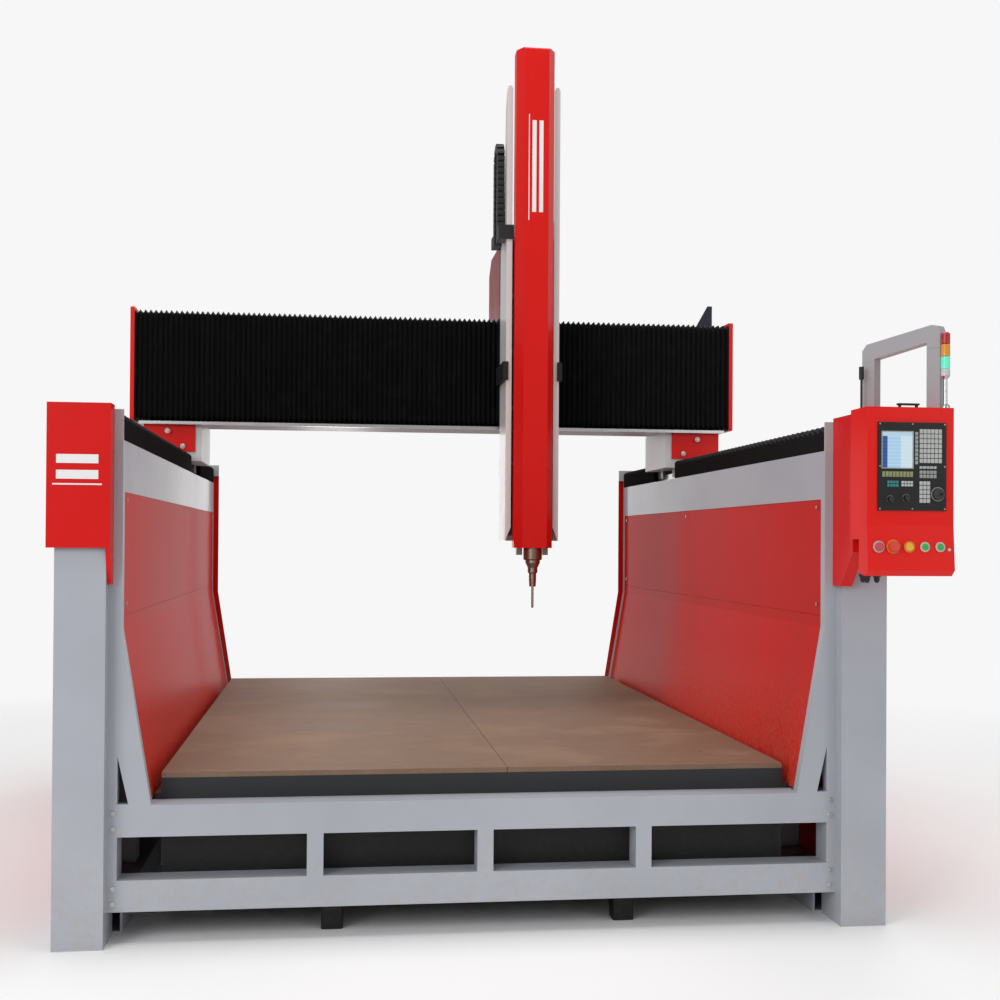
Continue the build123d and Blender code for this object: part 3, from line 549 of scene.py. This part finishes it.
screw_black = steel_material("blackened screws", BLACKENED, 0.42)
screw_bright = steel_material("plated screws", PLATED, 0.34)

wall_screws = Build()
low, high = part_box("outer_panels")
edge_y = (low[1] + 0.03, high[1] - 0.03)
edge_z = (low[2] + 0.025, high[2] - 0.025)
spots = [(y, z) for y in np.linspace(*edge_y, 9) for z in edge_z]
spots += [(y, low[2] + (high[2] - low[2]) * n / 4) for n in (1, 2, 3) for y in edge_y]
inner_y = np.linspace(INNER_START_Y, INNER_START_Y + INNER_RUN, 8)
inner_spots = [(y, z) for y in (inner_y[0], inner_y[-1]) for z in (INNER_LOW_Z, INNER_TOP_Z)]
inner_spots.append((inner_y[4], INNER_TOP_Z))
for side in (-1, 1):
    for y, z in spots:
        wall_screws.add(cap_screw(*SHEET_SCREW), facing(side * high[0], y, z, (side, 0, 0)))
    for y, z in inner_spots:
        wall_screws.add(cap_screw(*INNER_SCREW), facing(side * INNER_FACE_X, y, z, (-side, 0, 0)))
wall_screws.object("wall_panel_screws", screw_bright, "frame", "steel", True)

cover_screws = Build()
low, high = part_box("saddle_covers")
for side in (-1, 1):
    for x, z in COVER_SCREW_XZ:
        cover_screws.add(revolve(COVER_SCREW, 20), facing(side * x, low[1], z, (0, -1, 0)))
cover_screws.object("saddle_cover_screws", screw_bright, "bridge", "steel", True)

lattice_bolts = Build()
for face, end in ((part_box("front_lattice")[0][1], -1), (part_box("back_lattice")[1][1], 1)):
    for side in (-1, 1):
        for z in LATTICE_BOLT_Z:
            lattice_bolts.add(cap_screw(*LATTICE_BOLT), facing(side * LATTICE_BOLT_X, face, z, (0, end, 0)))
lattice_bolts.object("lattice_bolts", screw_bright, "frame", "steel", True)

saddle_screws = Build()
low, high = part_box("saddles")
for side in (-1, 1):
    for y in SADDLE_SCREW_Y:
        for z in SADDLE_SCREW_Z:
            saddle_screws.add(cap_screw(*SADDLE_SCREW), facing(side * high[0], y, z, (side, 0, 0)))
saddle_screws.object("saddle_screws", screw_black, "bridge", "steel", True)

end_screws = Build()
low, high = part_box("bridge_end_plates")
for side in (-1, 1):
    for y in (low[1] + 0.04, high[1] - 0.04):
        for z in END_SCREW_Z:
            end_screws.add(cap_screw(*END_SCREW), facing(side * high[0], y, z, (side, 0, 0)))
end_screws.object("end_plate_screws", screw_black, "bridge", "steel", True)

# ------------------------------------------------------------------ carriage
# A steel plate behind the ram carries a red cabinet on its top, whose red is darkened all over as painted
# shade.
# Black low-friction shoes wipe the ram's sides.

# The housing's red below is made dark as painted shade, standing for the shadow on the cabinet's side faces.
CARRIAGE_BLACK, HOUSING_SHADE_RED, SHOE_BLACK = (0.03, 0.03, 0.032), (0.30, 0.008, 0.008), (0.01, 0.01, 0.011)


finish("carriage_plate", paint("carriage black", CARRIAGE_BLACK, 0.4), 0.003)
# Painted shade: the cabinet's red is darkened to stand for the shadow on its sides.
housing_shaded_paint = paint("housing red darkened as painted shade", HOUSING_SHADE_RED, 0.34, coat=0.05, cloud=0.2, shine=0.2)
finish("carriage_housing", housing_shaded_paint, 0.006, 3)
finish("ram_shoes", paint("shoe black", SHOE_BLACK, 0.6), 0.005, 3)

# ------------------------------------------------------------------ ram
# A folded red cover with chamfered sides stands in front of the grey ram column,
# whose side plates have rounded tops. Plain white bars mark the cover and the left cap.

CARRIER = (0.76, 0.76, 0.76)
RAM_RED = (0.74, 0.011, 0.008)
MARK_WHITE = (0.95, 0.95, 0.95)
MARK_PROUD, MARK_SUNK = 0.0006, 0.0004
RAM_MARK_DROP = 0.33
RAM_BARS = ((-0.040, 0.004, 0.0, 0.52), (-0.022, 0.020, 0.03, 0.45), (0.012, 0.020, 0.03, 0.45))
CAP_BARS = ((-0.205, 0.030, 0.0), (-0.258, 0.030, 0.0), (-0.278, 0.005, 0.012))
CAP_MARGINS = (0.032, 0.040)
finish("ram_body", paint("ram grey", CARRIER, 0.32, coat=0.2, cloud=0.08), 0.003, 3)
ram_red = paint("ram red", RAM_RED, 0.3, coat=0.08, peel=0.00003, cloud=0.04, shine=0.16)
finish("ram_cover", ram_red, 0.005, 4)
finish("chain_anchor_ram", cast_black, 0.002)

mark_white = paint("marking white", MARK_WHITE, 0.4)
ram_marks = Build()
low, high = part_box("ram_cover")
centre = (low[0] + high[0]) / 2
for left, wide, drop, tall in RAM_BARS:
    top = high[2] - RAM_MARK_DROP - drop
    ram_marks.box((centre + left, centre + left + wide), (low[1] - MARK_PROUD, low[1] + MARK_SUNK),
                  (top - tall, top))
ram_marks.object("ram_stripes", mark_white, "ram", "white_paint")

cap_marks = Build()
low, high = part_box("cap_left")
for lift, tall, trim in CAP_BARS:
    cap_marks.box((low[0] + CAP_MARGINS[0] - trim, high[0] - CAP_MARGINS[1] + trim),
                  (low[1] - MARK_PROUD, low[1] + MARK_SUNK), (high[2] + lift, high[2] + lift + tall))
cap_marks.object("cap_stripes", mark_white, "frame", "white_paint")

# ------------------------------------------------------------------ energy chain
# Black snap-together links carry the motor leads from a bracket on the carriage, over a bend
# and down to an anchor on the ram.

LINK_PITCH = 0.030
CHAIN_WIDTH = 0.037
CHAIN_DEEP = 0.042
CHAIN_SPAN = 0.170  # over both strands
CHAIN_FOOT = 2.96
BEND_DROP = 0.085  # bend's centre below the chain's top
PLATE = 0.0045
LINK_GAP = 0.0012
BOSS = ((0.007, 0.0), (0.0072, 0.001), (0.0066, 0.0018), (0.003, 0.0018))
BOSS_SUNK = 0.0016
BRACKET_BACK = 0.4168
CHAIN_BLACK, CHAIN_DUST = (0.012, 0.012, 0.013), (0.06, 0.055, 0.05)


def chain_plastic():
    """Black moulded plastic with dust in patches."""
    made = Material("chain plastic")
    grain = made.noise(260.0, 3.0)
    dust = made.noise(18.0, 4.0, 0.7).above(0.5, 0.8)
    base = made.mix(dust * 0.3, CHAIN_BLACK, CHAIN_DUST)
    return made.shader(Base_Color=base, Roughness=0.45 + dust * 0.2, Normal=made.bump(grain, 0.0003))


chain_low, chain_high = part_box("energy_chain")
chain_black = chain_plastic()
chain_left, chain_right = chain_low[0], chain_low[0] + CHAIN_WIDTH
front_y = chain_low[1] + CHAIN_DEEP / 2
back_y = chain_low[1] + CHAIN_SPAN - CHAIN_DEEP / 2
bend_z = chain_high[2] - BEND_DROP
bend_radius = (back_y - front_y) / 2
straight = bend_z - CHAIN_FOOT
arc = math.pi * bend_radius
chain_length = 2 * straight + arc
link_count = round(chain_length / LINK_PITCH)


def chain_point(travel):
    """Centre line of the chain and its direction: up the back, over the bend and down the front."""
    if travel < straight:
        return (back_y, CHAIN_FOOT + travel, 0.0)
    if travel < straight + arc:
        turn = (travel - straight) / bend_radius
        middle = (front_y + back_y) / 2
        return (middle + bend_radius * math.cos(turn), bend_z + bend_radius * math.sin(turn), turn)
    return (front_y, bend_z - (travel - straight - arc), math.pi)


def link_shape():
    """One link: two waisted side plates, a rib over each face and a pin boss at each side."""
    made = Build()
    half = LINK_PITCH / 2
    deep = CHAIN_DEEP / 2
    for side, x, outer in ((-1, (chain_left, chain_left + PLATE), chain_left),
                           (1, (chain_right - PLATE, chain_right), chain_right)):
        made.box(x, (-deep, deep), (-half + LINK_GAP, half - LINK_GAP), 0.0016)
        made.add(revolve(BOSS, 14), facing(outer - side * BOSS_SUNK, 0, half * 0.5, (side, 0, 0)))
    for face in (-1, 1):
        y = face * (deep - 0.002)
        for inset, thick, share, edge in ((0.003, 0.002, 0.78, 0.0012), (0.001, 0.003, 0.25, 0.001)):
            made.box((chain_left + inset, chain_right - inset), (y - thick, y + thick),
                     (-half * share, half * share), edge)
    made.box((chain_left + 0.005, chain_right - 0.005), (-0.012, 0.012), (-half, half))
    return made


one_link = link_shape()
strands = {"back": Build(), "front": Build()}
for n in range(link_count):
    y, z, turn = chain_point((n + 0.5) * chain_length / link_count)
    place = Matrix.Translation((0, y, z)) @ Matrix.Rotation(turn, 4, "X")
    strands["back" if turn < math.pi / 2 else "front"].add((one_link.vertices, one_link.faces), place)

bracket = Build()
bracket.box((chain_left, chain_right), (back_y - CHAIN_DEEP / 2 + 0.001, BRACKET_BACK), (2.90, 2.958), 0.002)
bracket.box((chain_left + 0.002, 0.43), (0.411, BRACKET_BACK), (2.902, 2.95), 0.001)
bracket.object("chain_bracket", cast_black, "carriage", "chain")

for strand, made in strands.items():
    piece = mesh_object(f"chain_links_{strand}", made.vertices, made.faces, chain_black)
    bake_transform(piece)
    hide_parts("energy_chain")

# ------------------------------------------------------------------ spindle and tool
# The spindle's dark nose is stepped and bronzed by heat.
# Its tool holder grips a slim bright cutter.

BRONZED, HOLDER, CUTTER = (0.34, 0.26, 0.21), (0.42, 0.36, 0.32), (0.5, 0.49, 0.47)

bronze = steel_material("blued nose steel", BRONZED, 0.36, (1, 1, 6), oil=0.5)
finish("spindle_housing", bronze, 0.002, 3)
finish("tool_holder", steel_material("holder steel", HOLDER, 0.3, (1, 1, 8)), 0.0008)
finish("cutter", steel_material("cutter steel", CUTTER, 0.25), 0)

# ------------------------------------------------------------------ control station
# A red steel cabinet on a swivelling grey arm. Its black keyboard panel has a small screen, rows of
# moulded keys, two rotary switches and a handwheel. Five buttons in collars and a lamp sit on the
# leaning strip below, and a handle and cable glands on its lid and floor.

CABINET_DARK, CABINET_RED, POST_GREY = (0.82, 0.014, 0.010), (0.88, 0.015, 0.011), (0.42, 0.43, 0.45)
LID_EDGE_Z = (1.8618, 1.8622)  # the post is above this
PANEL_BLACK = (0.012, 0.012, 0.013)
TEAL, PALE_KEY = (0.03, 0.28, 0.28), (0.55, 0.57, 0.55)
KEY_GAP, KEY_HEIGHT = 0.0022, 0.0024
PANEL_SINK = 0.0008  # how far keys and frames reach into the panel
KEY_BANKS = {  # colour, x and z edges, columns, rows
    "screen_side_keys": ((0.35, 0.4, 0.36), (1.4400, 1.4525), (1.663, 1.776), 1, 8),
    "soft_keys": ((0.30, 0.33, 0.14), (1.322, 1.434), (1.619, 1.640), 9, 1),
    "mode_keys": (TEAL, (1.340, 1.382), (1.585, 1.608), 4, 2),
    "axis_keys": ((0.62, 0.66, 0.68), (1.391, 1.434), (1.587, 1.607), 4, 2),
    "letter_keys": (PALE_KEY, (1.456, 1.538), (1.668, 1.786), 6, 7),
    "page_keys": ((0.45, 0.5, 0.48), (1.456, 1.519), (1.648, 1.659), 5, 1),
    "edit_keys": ((0.36, 0.37, 0.35), (1.456, 1.519), (1.616, 1.644), 5, 2),
    "number_keys": (PALE_KEY, (1.456, 1.496), (1.531, 1.607), 3, 5)}
SCREEN_X, SCREEN_Z = (1.324, 1.432), (1.652, 1.774)
MENU_WIDE, LIST_START, STATUS_TALL, ROW_TALL = 0.018, 0.066, 0.014, 0.006
BEZEL = 0.0035
PANEL_SCREW, PANEL_INSET = (0.0028, 0.002), 0.006
DIAL_TICKS = 11
DIAL_SWEEP = 270
RING = ((0.0225, 0.0), (0.0245, 0.0012), (0.0245, 0.0022), (0.0212, 0.0026), (0.0212, 0.0))
RING_TICKS = 40
STRIP_WAY = (0, -0.997, 0.077)  # outward from the leaning strip
STRIP_FACE_Y = -2.0452
COLLAR_GAP, COLLAR_WIDE = 0.0009, 0.0045
RED_BUTTON, STOP_RED = (0.62, 0.06, 0.08), (0.75, 0.05, 0.02)
AMBER, GREEN = (0.85, 0.48, 0.02), (0.02, 0.42, 0.06)
PALE_COLLAR = (0.55, 0.57, 0.5)
BUTTONS = {  # button and collar colours
    "power_off_button": (RED_BUTTON, (0.5, 0.5, 0.48)), "emergency_stop": (STOP_RED, (0.8, 0.2, 0.01)),
    "feed_hold_button": (AMBER, (0.75, 0.22, 0.01)), "cycle_start_button": (GREEN, PALE_COLLAR),
    "power_on_button": (GREEN, PALE_COLLAR)}
LAMP = ((0.005, 0.0), (0.0052, 0.002), (0.004, 0.0035), (0.0015, 0.0042), (0.0, 0.0043))
LAMP_PLACE = (1.566, -2.0412, 1.371)
LID_Z, FLOOR_Z = 1.861, 1.2895
GLAND = ((0.013, 0.0), (0.014, 0.002), (0.014, 0.012), (0.010, 0.016), (0.009, 0.028), (0.006, 0.031),
         (0.006, 0.034))
GLAND_XY = ((1.292, -1.990), (1.330, -1.984), (1.296, -1.945))


def station_paint():
    """Gloss red on the cabinet and grey on the swivelling post above its lid."""
    made = Material("station paint")
    post = made.axis("Z").above(*LID_EDGE_Z)
    base = made.mix(post, made.mix(made.noise(2.2, 4.0), CABINET_DARK, CABINET_RED), POST_GREY)
    rough = 0.34 + (made.noise(9.0, 4.0) - 0.5) * 0.12
    return made.shader(Base_Color=base, Roughness=rough, Coat_Weight=0.08, Coat_Roughness=0.12,
                       Specular_IOR_Level=0.12, Normal=made.bump(made.noise(PEEL_SCALE, 2.0), 0.00004))


finish("control_box", station_paint(), 0.004, 3)
finish("control_panel", paint("keyboard black", PANEL_BLACK, 0.42, peel=0.00012), 0.001)
panel_low, panel_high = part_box("control_panel")
face_y = panel_low[1]


def plastic(name, colour, roughness=0.4, speck=0.06):
    made = Material(name)
    spread = made.noise(60.0, 3.0)
    base = made.mix(spread.above(0.35, 0.7), [c * (1 - speck * 2) for c in colour], colour)
    grain = made.noise(900.0, 2.0)
    return made.shader(Base_Color=base, Roughness=roughness + (spread - 0.5) * 0.12,
                       Normal=made.bump(grain, 0.00006))


def key_bank(name, colour, x, z, columns, rows):
    """Rows of small dished keycaps between the given edges."""
    made = Build()
    wide = (x[1] - x[0]) / columns
    tall = (z[1] - z[0]) / rows
    for column in range(columns):
        for row in range(rows):
            left = x[0] + column * wide + KEY_GAP / 2
            foot = z[0] + row * tall + KEY_GAP / 2
            made.box((left, left + wide - KEY_GAP), (face_y - KEY_HEIGHT, face_y + PANEL_SINK),
                     (foot, foot + tall - KEY_GAP), 0.0007)
    made.object(name, plastic(name.replace("_", " "), colour), "control_station", "white_paint", True)


for name, bank in KEY_BANKS.items():
    key_bank(name, *bank)


def screen_material():
    """A lit display: a blue menu column, a pale work area with faint rows and a status bar."""
    made = Material("screen")
    x = made.axis("X")
    z = made.axis("Z")
    menu = 1.0 - x.above(SCREEN_X[0] + MENU_WIDE, SCREEN_X[0] + MENU_WIDE + 0.0005)
    list_side = x.above(SCREEN_X[0] + LIST_START, SCREEN_X[0] + LIST_START + 0.0005)
    status = z.above(SCREEN_Z[1] - STATUS_TALL, SCREEN_Z[1] - STATUS_TALL + 0.0005)
    rows = (made.math("PINGPONG", z, ROW_TALL) / ROW_TALL).above(0.72, 0.78)
    field = made.mix(list_side, (0.30, 0.50, 0.66), (0.48, 0.60, 0.66))
    field = made.mix(rows * 0.3, field, (0.58, 0.68, 0.72))
    menu_colour = made.mix(rows * 0.6, (0.012, 0.05, 0.22), (0.03, 0.10, 0.36))
    shown = made.mix(menu, field, menu_colour)
    shown = made.mix(status, shown, (0.38, 0.52, 0.62))
    return made.shader(Base_Color=(0.01, 0.01, 0.012), Emission_Color=shown, Emission_Strength=1.15,
                       Roughness=0.14, Specular_IOR_Level=0.3)


def between(low, high, axis=0):
    """The middle of a box along one axis."""
    return (low[axis] + high[axis]) / 2


glass = Build()
glass.box(SCREEN_X, (face_y + 0.0006, face_y + 0.0016), SCREEN_Z, 0.0004)
glass.object("screen_glass", screen_material(), "control_station", "panel")

bezel = Build()
tall = (SCREEN_Z[0] - BEZEL, SCREEN_Z[1] + BEZEL)
for x, z in (((SCREEN_X[0] - BEZEL, SCREEN_X[0]), tall), ((SCREEN_X[1], SCREEN_X[1] + BEZEL), tall),
             (SCREEN_X, (SCREEN_Z[0] - BEZEL, SCREEN_Z[0])), (SCREEN_X, (SCREEN_Z[1], SCREEN_Z[1] + BEZEL))):
    bezel.box(x, (face_y - 0.0015, face_y + PANEL_SINK), z, 0.0005)
bezel.object("screen_frame", plastic("frame light grey", (0.4, 0.42, 0.42)), "control_station", "panel", True)

panel_screws = Build()
across = (panel_low[0] + PANEL_INSET, between(panel_low, panel_high), panel_high[0] - PANEL_INSET)
upward = (panel_low[2] + PANEL_INSET, between(panel_low, panel_high, 2), panel_high[2] - PANEL_INSET)
for x in across:
    for z in upward:
        if (x, z) != (across[1], upward[1]):
            panel_screws.add(cap_screw(*PANEL_SCREW), facing(x, face_y, z, (0, -1, 0)))
panel_screws.object("panel_screws", steel_material("panel screws", CUT_STEEL, 0.35), "control_station",
                    "steel", True)

black_knob = plastic("dial black", (0.015, 0.015, 0.016), 0.34, 0.03)
for node in ("feed_dial", "spindle_dial"):
    finish(node, black_knob, 0)
    low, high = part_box(node)
    centre = Matrix.Translation((between(low, high), 0, between(low, high, 2)))
    ticks = Build()
    for n in range(DIAL_TICKS):
        turn = math.radians(DIAL_SWEEP * (n / (DIAL_TICKS - 1) - 0.5))
        ticks.box((-0.0004, 0.0004), (face_y - 0.0003, face_y + 0.0004), (0.0115, 0.0145), 0,
                  centre @ Matrix.Rotation(turn, 4, "Y"))
    ticks.object(f"{node}_ticks", mark_white, "control_station", "white_paint")

finish("handwheel", plastic("handwheel black", (0.02, 0.02, 0.021), 0.3, 0.02), 0)
low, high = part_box("handwheel")
x, z = between(low, high), between(low, high, 2)
ring = Build()
ring.add(revolve(RING, 40), facing(x, face_y, z, (0, -1, 0)))
for n in range(RING_TICKS):
    place = Matrix.Translation((x, 0, z)) @ Matrix.Rotation(2 * math.pi * n / RING_TICKS, 4, "Y")
    ring.box((-0.0003, 0.0003), (face_y - 0.0031, face_y - 0.0024), (0.0214, 0.0240), 0, place)
ring.object("handwheel_ring", plastic("ring grey", (0.33, 0.34, 0.35)), "control_station", "panel", True)

for node, (colour, collar_colour) in BUTTONS.items():
    title = node.replace("_", " ")
    finish(node, plastic(title, colour, 0.25, 0.03), 0)
    low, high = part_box(node)
    inner = (high[0] - low[0]) / 2 + COLLAR_GAP
    outer = inner + COLLAR_WIDE
    collar = Build()
    profile = [(inner, 0.0), (outer, 0.0), (outer, 0.0022), (outer - 0.001, 0.0032), (inner, 0.0032)]
    collar.add(revolve(profile, 36),
               facing(between(low, high), STRIP_FACE_Y, between(low, high, 2), STRIP_WAY))
    collar.object(node + "_collar", plastic(title + " collar", collar_colour), "control_station", "panel",
                  True)

lamp = Build()
lamp.add(revolve(LAMP, 20), facing(*LAMP_PLACE, STRIP_WAY))
lamp.object("power_lamp", plastic("lamp lens", (0.7, 0.72, 0.68), 0.2), "control_station", "panel", True)

extras = Build()
for x in ((1.398, 1.404), (1.459, 1.465)):
    extras.box(x, (-2.012, -1.998), (LID_Z, LID_Z + 0.010), 0.001)
extras.box((1.392, 1.471), (-2.014, -1.996), (LID_Z + 0.009, LID_Z + 0.016), 0.003)
for x, y in GLAND_XY:
    extras.add(revolve(GLAND, 18), facing(x, y, FLOOR_Z, (0, 0, -1)))
extras.object("lid_handle_and_glands", cast_black, "control_station", "panel", True)

# ------------------------------------------------------------------ signal tower
# Three stacked clear lenses, red, amber and green, with a ribbed light guide inside,
# on a pale base and a plated stem.

BANDS = (("red", 2.084, 2.121, (0.42, 0.006, 0.008), 0.05), ("amber", 2.041, 2.083, (0.72, 0.28, 0.01), 0.06),
         ("green", 1.998, 2.040, (0.10, 0.62, 0.42), 0.45), ("base", 1.972, 1.997, (0.6, 0.62, 0.62), 0.0))
BAND_RADIUS = 0.0155
STEM = ((0.0155, 1.861), (0.0155, 1.866), (0.0135, 1.872), (0.0075, 1.876), (0.0068, 1.884), (0.0068, 1.962),
        (0.0105, 1.966), (0.0140, 1.9705), (0.0150, 1.9715))
CHROME = (0.6, 0.6, 0.61)


def lens(name, colour, glow):
    """Clear tinted plastic, ribbed inside and lit by glow."""
    made = Material(name)
    ribs = made.node("ShaderNodeTexWave", {"wave_type": "BANDS", "bands_direction": "Z"}, "Fac",
                     Vector=made.position(), Scale=160.0)
    base = made.mix(ribs * 0.4, colour, [min(1.0, c * 1.5 + 0.02) for c in colour])
    return made.shader(Base_Color=base, Roughness=0.16 + ribs * 0.1, Coat_Weight=0.5, Coat_Roughness=0.05,
                       Emission_Color=base, Emission_Strength=glow, Normal=made.bump(ribs, 0.0003))


low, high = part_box("signal_tower")
tower_x, tower_y = between(low, high), between(low, high, 1)
for label, low_z, high_z, colour, glow in BANDS:
    tall = high_z - low_z
    profile = [(0.0135, 0.0), (BAND_RADIUS, 0.0012), (BAND_RADIUS, tall * 0.45), (0.0152, tall * 0.5),
               (BAND_RADIUS, tall * 0.55), (BAND_RADIUS, tall - 0.0012)]
    if label == "red":
        profile += [(0.0130, tall + 0.001), (0.009, tall + 0.0042), (0.003, tall + 0.0050)]
    else:
        profile.append((0.0135, tall))
    band = Build()
    band.add(revolve(profile, 40), Matrix.Translation((tower_x, tower_y, low_z)))
    band.object("tower_" + label, lens("lens " + label, colour, glow), "control_station", "lamp", True,
                replaced=("signal_tower",))
stem = Build()
stem.add(revolve(STEM, 36), Matrix.Translation((tower_x, tower_y, 0)))
stem.object("tower_stem", steel_material("stem chrome", CHROME, 0.2), "control_station", "aluminium", True)

# ------------------------------------------------------------------ floor, light and camera
# A plain pale floor fades out into a white surround. Soft boxes stand above, on both sides and behind,
# and the camera is at chest height in front and a little to the left.

FLOOR_PALE, FLOOR_WHITE = (0.95, 0.95, 0.95), (0.97, 0.97, 0.97)
FADE = (2.6, 6.5)  # from solid to clear, by distance from the middle
FLOOR_RINGS = (2.0, 4.0, 6.0, 8.0)
FLOOR_SIDES = 48
LIGHTING_LEVEL, SEEN_LEVEL = 0.42, 0.93
SOFT_BOXES = {  # place, aim, size and power
    "overhead": ((0, -0.6, 7.5), (0, 0, 1.0), (8.0, 6.0), 330),
    "front_left": ((-5.5, -7.5, 4.0), (0, -0.5, 1.4), (4.0, 4.0), 250),
    "front_right": ((5.0, -7.0, 3.5), (0.3, -0.5, 1.4), (3.0, 4.0), 50),
    "strip": ((-0.53, 8.4, 1.8), (-0.53, 0, 1.3), (0.7, 4.0), 30),
    "rear": ((4.5, 6.5, 5.5), (0, 0, 1.4), (4.0, 4.0), 110)}
CAMERA_PLACE = (-0.5331, -6.3157, 1.3891)
YAW, PITCH, ROLL = math.radians(7.257), math.radians(0.487), math.radians(0.365)
LENS, SENSOR = 47.13, 36.0
SHIFT = (-0.00124, 0.0307)


def floor_material():
    """Matt near-white that fades out with distance."""
    made = Material("floor")
    far = made.node("ShaderNodeVectorMath", {"operation": "LENGTH"}, "Value", i0=made.position())
    return made.shader(Base_Color=made.mix(made.noise(0.6, 3.0), FLOOR_PALE, FLOOR_WHITE), Roughness=0.8,
                       Specular_IOR_Level=0.1, Alpha=1.0 - far.above(*FADE))


vertices = [(0.0, 0.0, 0.0)]
for ring in FLOOR_RINGS:
    for n in range(FLOOR_SIDES):
        turn = 2 * math.pi * n / FLOOR_SIDES
        vertices.append((ring * math.cos(turn), ring * math.sin(turn), 0.0))
faces = [(0, 1 + n, 1 + (n + 1) % FLOOR_SIDES) for n in range(FLOOR_SIDES)]
for ring in range(len(FLOOR_RINGS) - 1):
    start = 1 + ring * FLOOR_SIDES
    for n in range(FLOOR_SIDES):
        a, b = start + n, start + (n + 1) % FLOOR_SIDES
        faces.append((a, b, b + FLOOR_SIDES, a + FLOOR_SIDES))
mesh_object("floor", vertices, faces, floor_material())

scene = bpy.context.scene
scene.view_settings.view_transform = "Standard"
scene.world = bpy.data.worlds.new("studio")
surround = NodeTree(scene.world)
surround_level = surround.node("ShaderNodeMix", {}, "Result", i2=LIGHTING_LEVEL, i3=SEEN_LEVEL,
                               i0=surround.node("ShaderNodeLightPath", {}, "Is Camera Ray"))
background = surround.nodes["Background"].inputs
surround.feed(background["Strength"], surround_level)
surround.feed(background["Color"], (1.0, 1.0, 1.0))

for name, (place, aim, size, power) in SOFT_BOXES.items():
    light = bpy.data.lights.new(name, "AREA")
    light.shape = "RECTANGLE"
    light.size, light.size_y = size
    light.energy = power
    made = bpy.data.objects.new(name, light)
    made.location = place
    made.rotation_euler = (Vector(aim) - Vector(place)).to_track_quat("-Z", "Y").to_euler()
    made.visible_camera = False
    scene.collection.objects.link(made)

camera_data = bpy.data.cameras.new("camera")
camera_data.sensor_width = SENSOR
camera_data.lens = LENS
camera_data.shift_x, camera_data.shift_y = SHIFT
camera_data.clip_end = 200.0
forward = Vector((math.sin(YAW) * math.cos(PITCH), math.cos(YAW) * math.cos(PITCH), math.sin(PITCH)))
level = Vector((math.cos(YAW), -math.sin(YAW), 0.0))
up = level.cross(forward)
right_way = math.cos(ROLL) * level + math.sin(ROLL) * up
up_way = -math.sin(ROLL) * level + math.cos(ROLL) * up
camera = bpy.data.objects.new("camera", camera_data)
camera.matrix_world = Matrix.Translation(CAMERA_PLACE) @ Matrix(
    (right_way, up_way, -forward)).transposed().to_4x4()
scene.collection.objects.link(camera)
scene.camera = camera

bpy.context.view_layer.update()
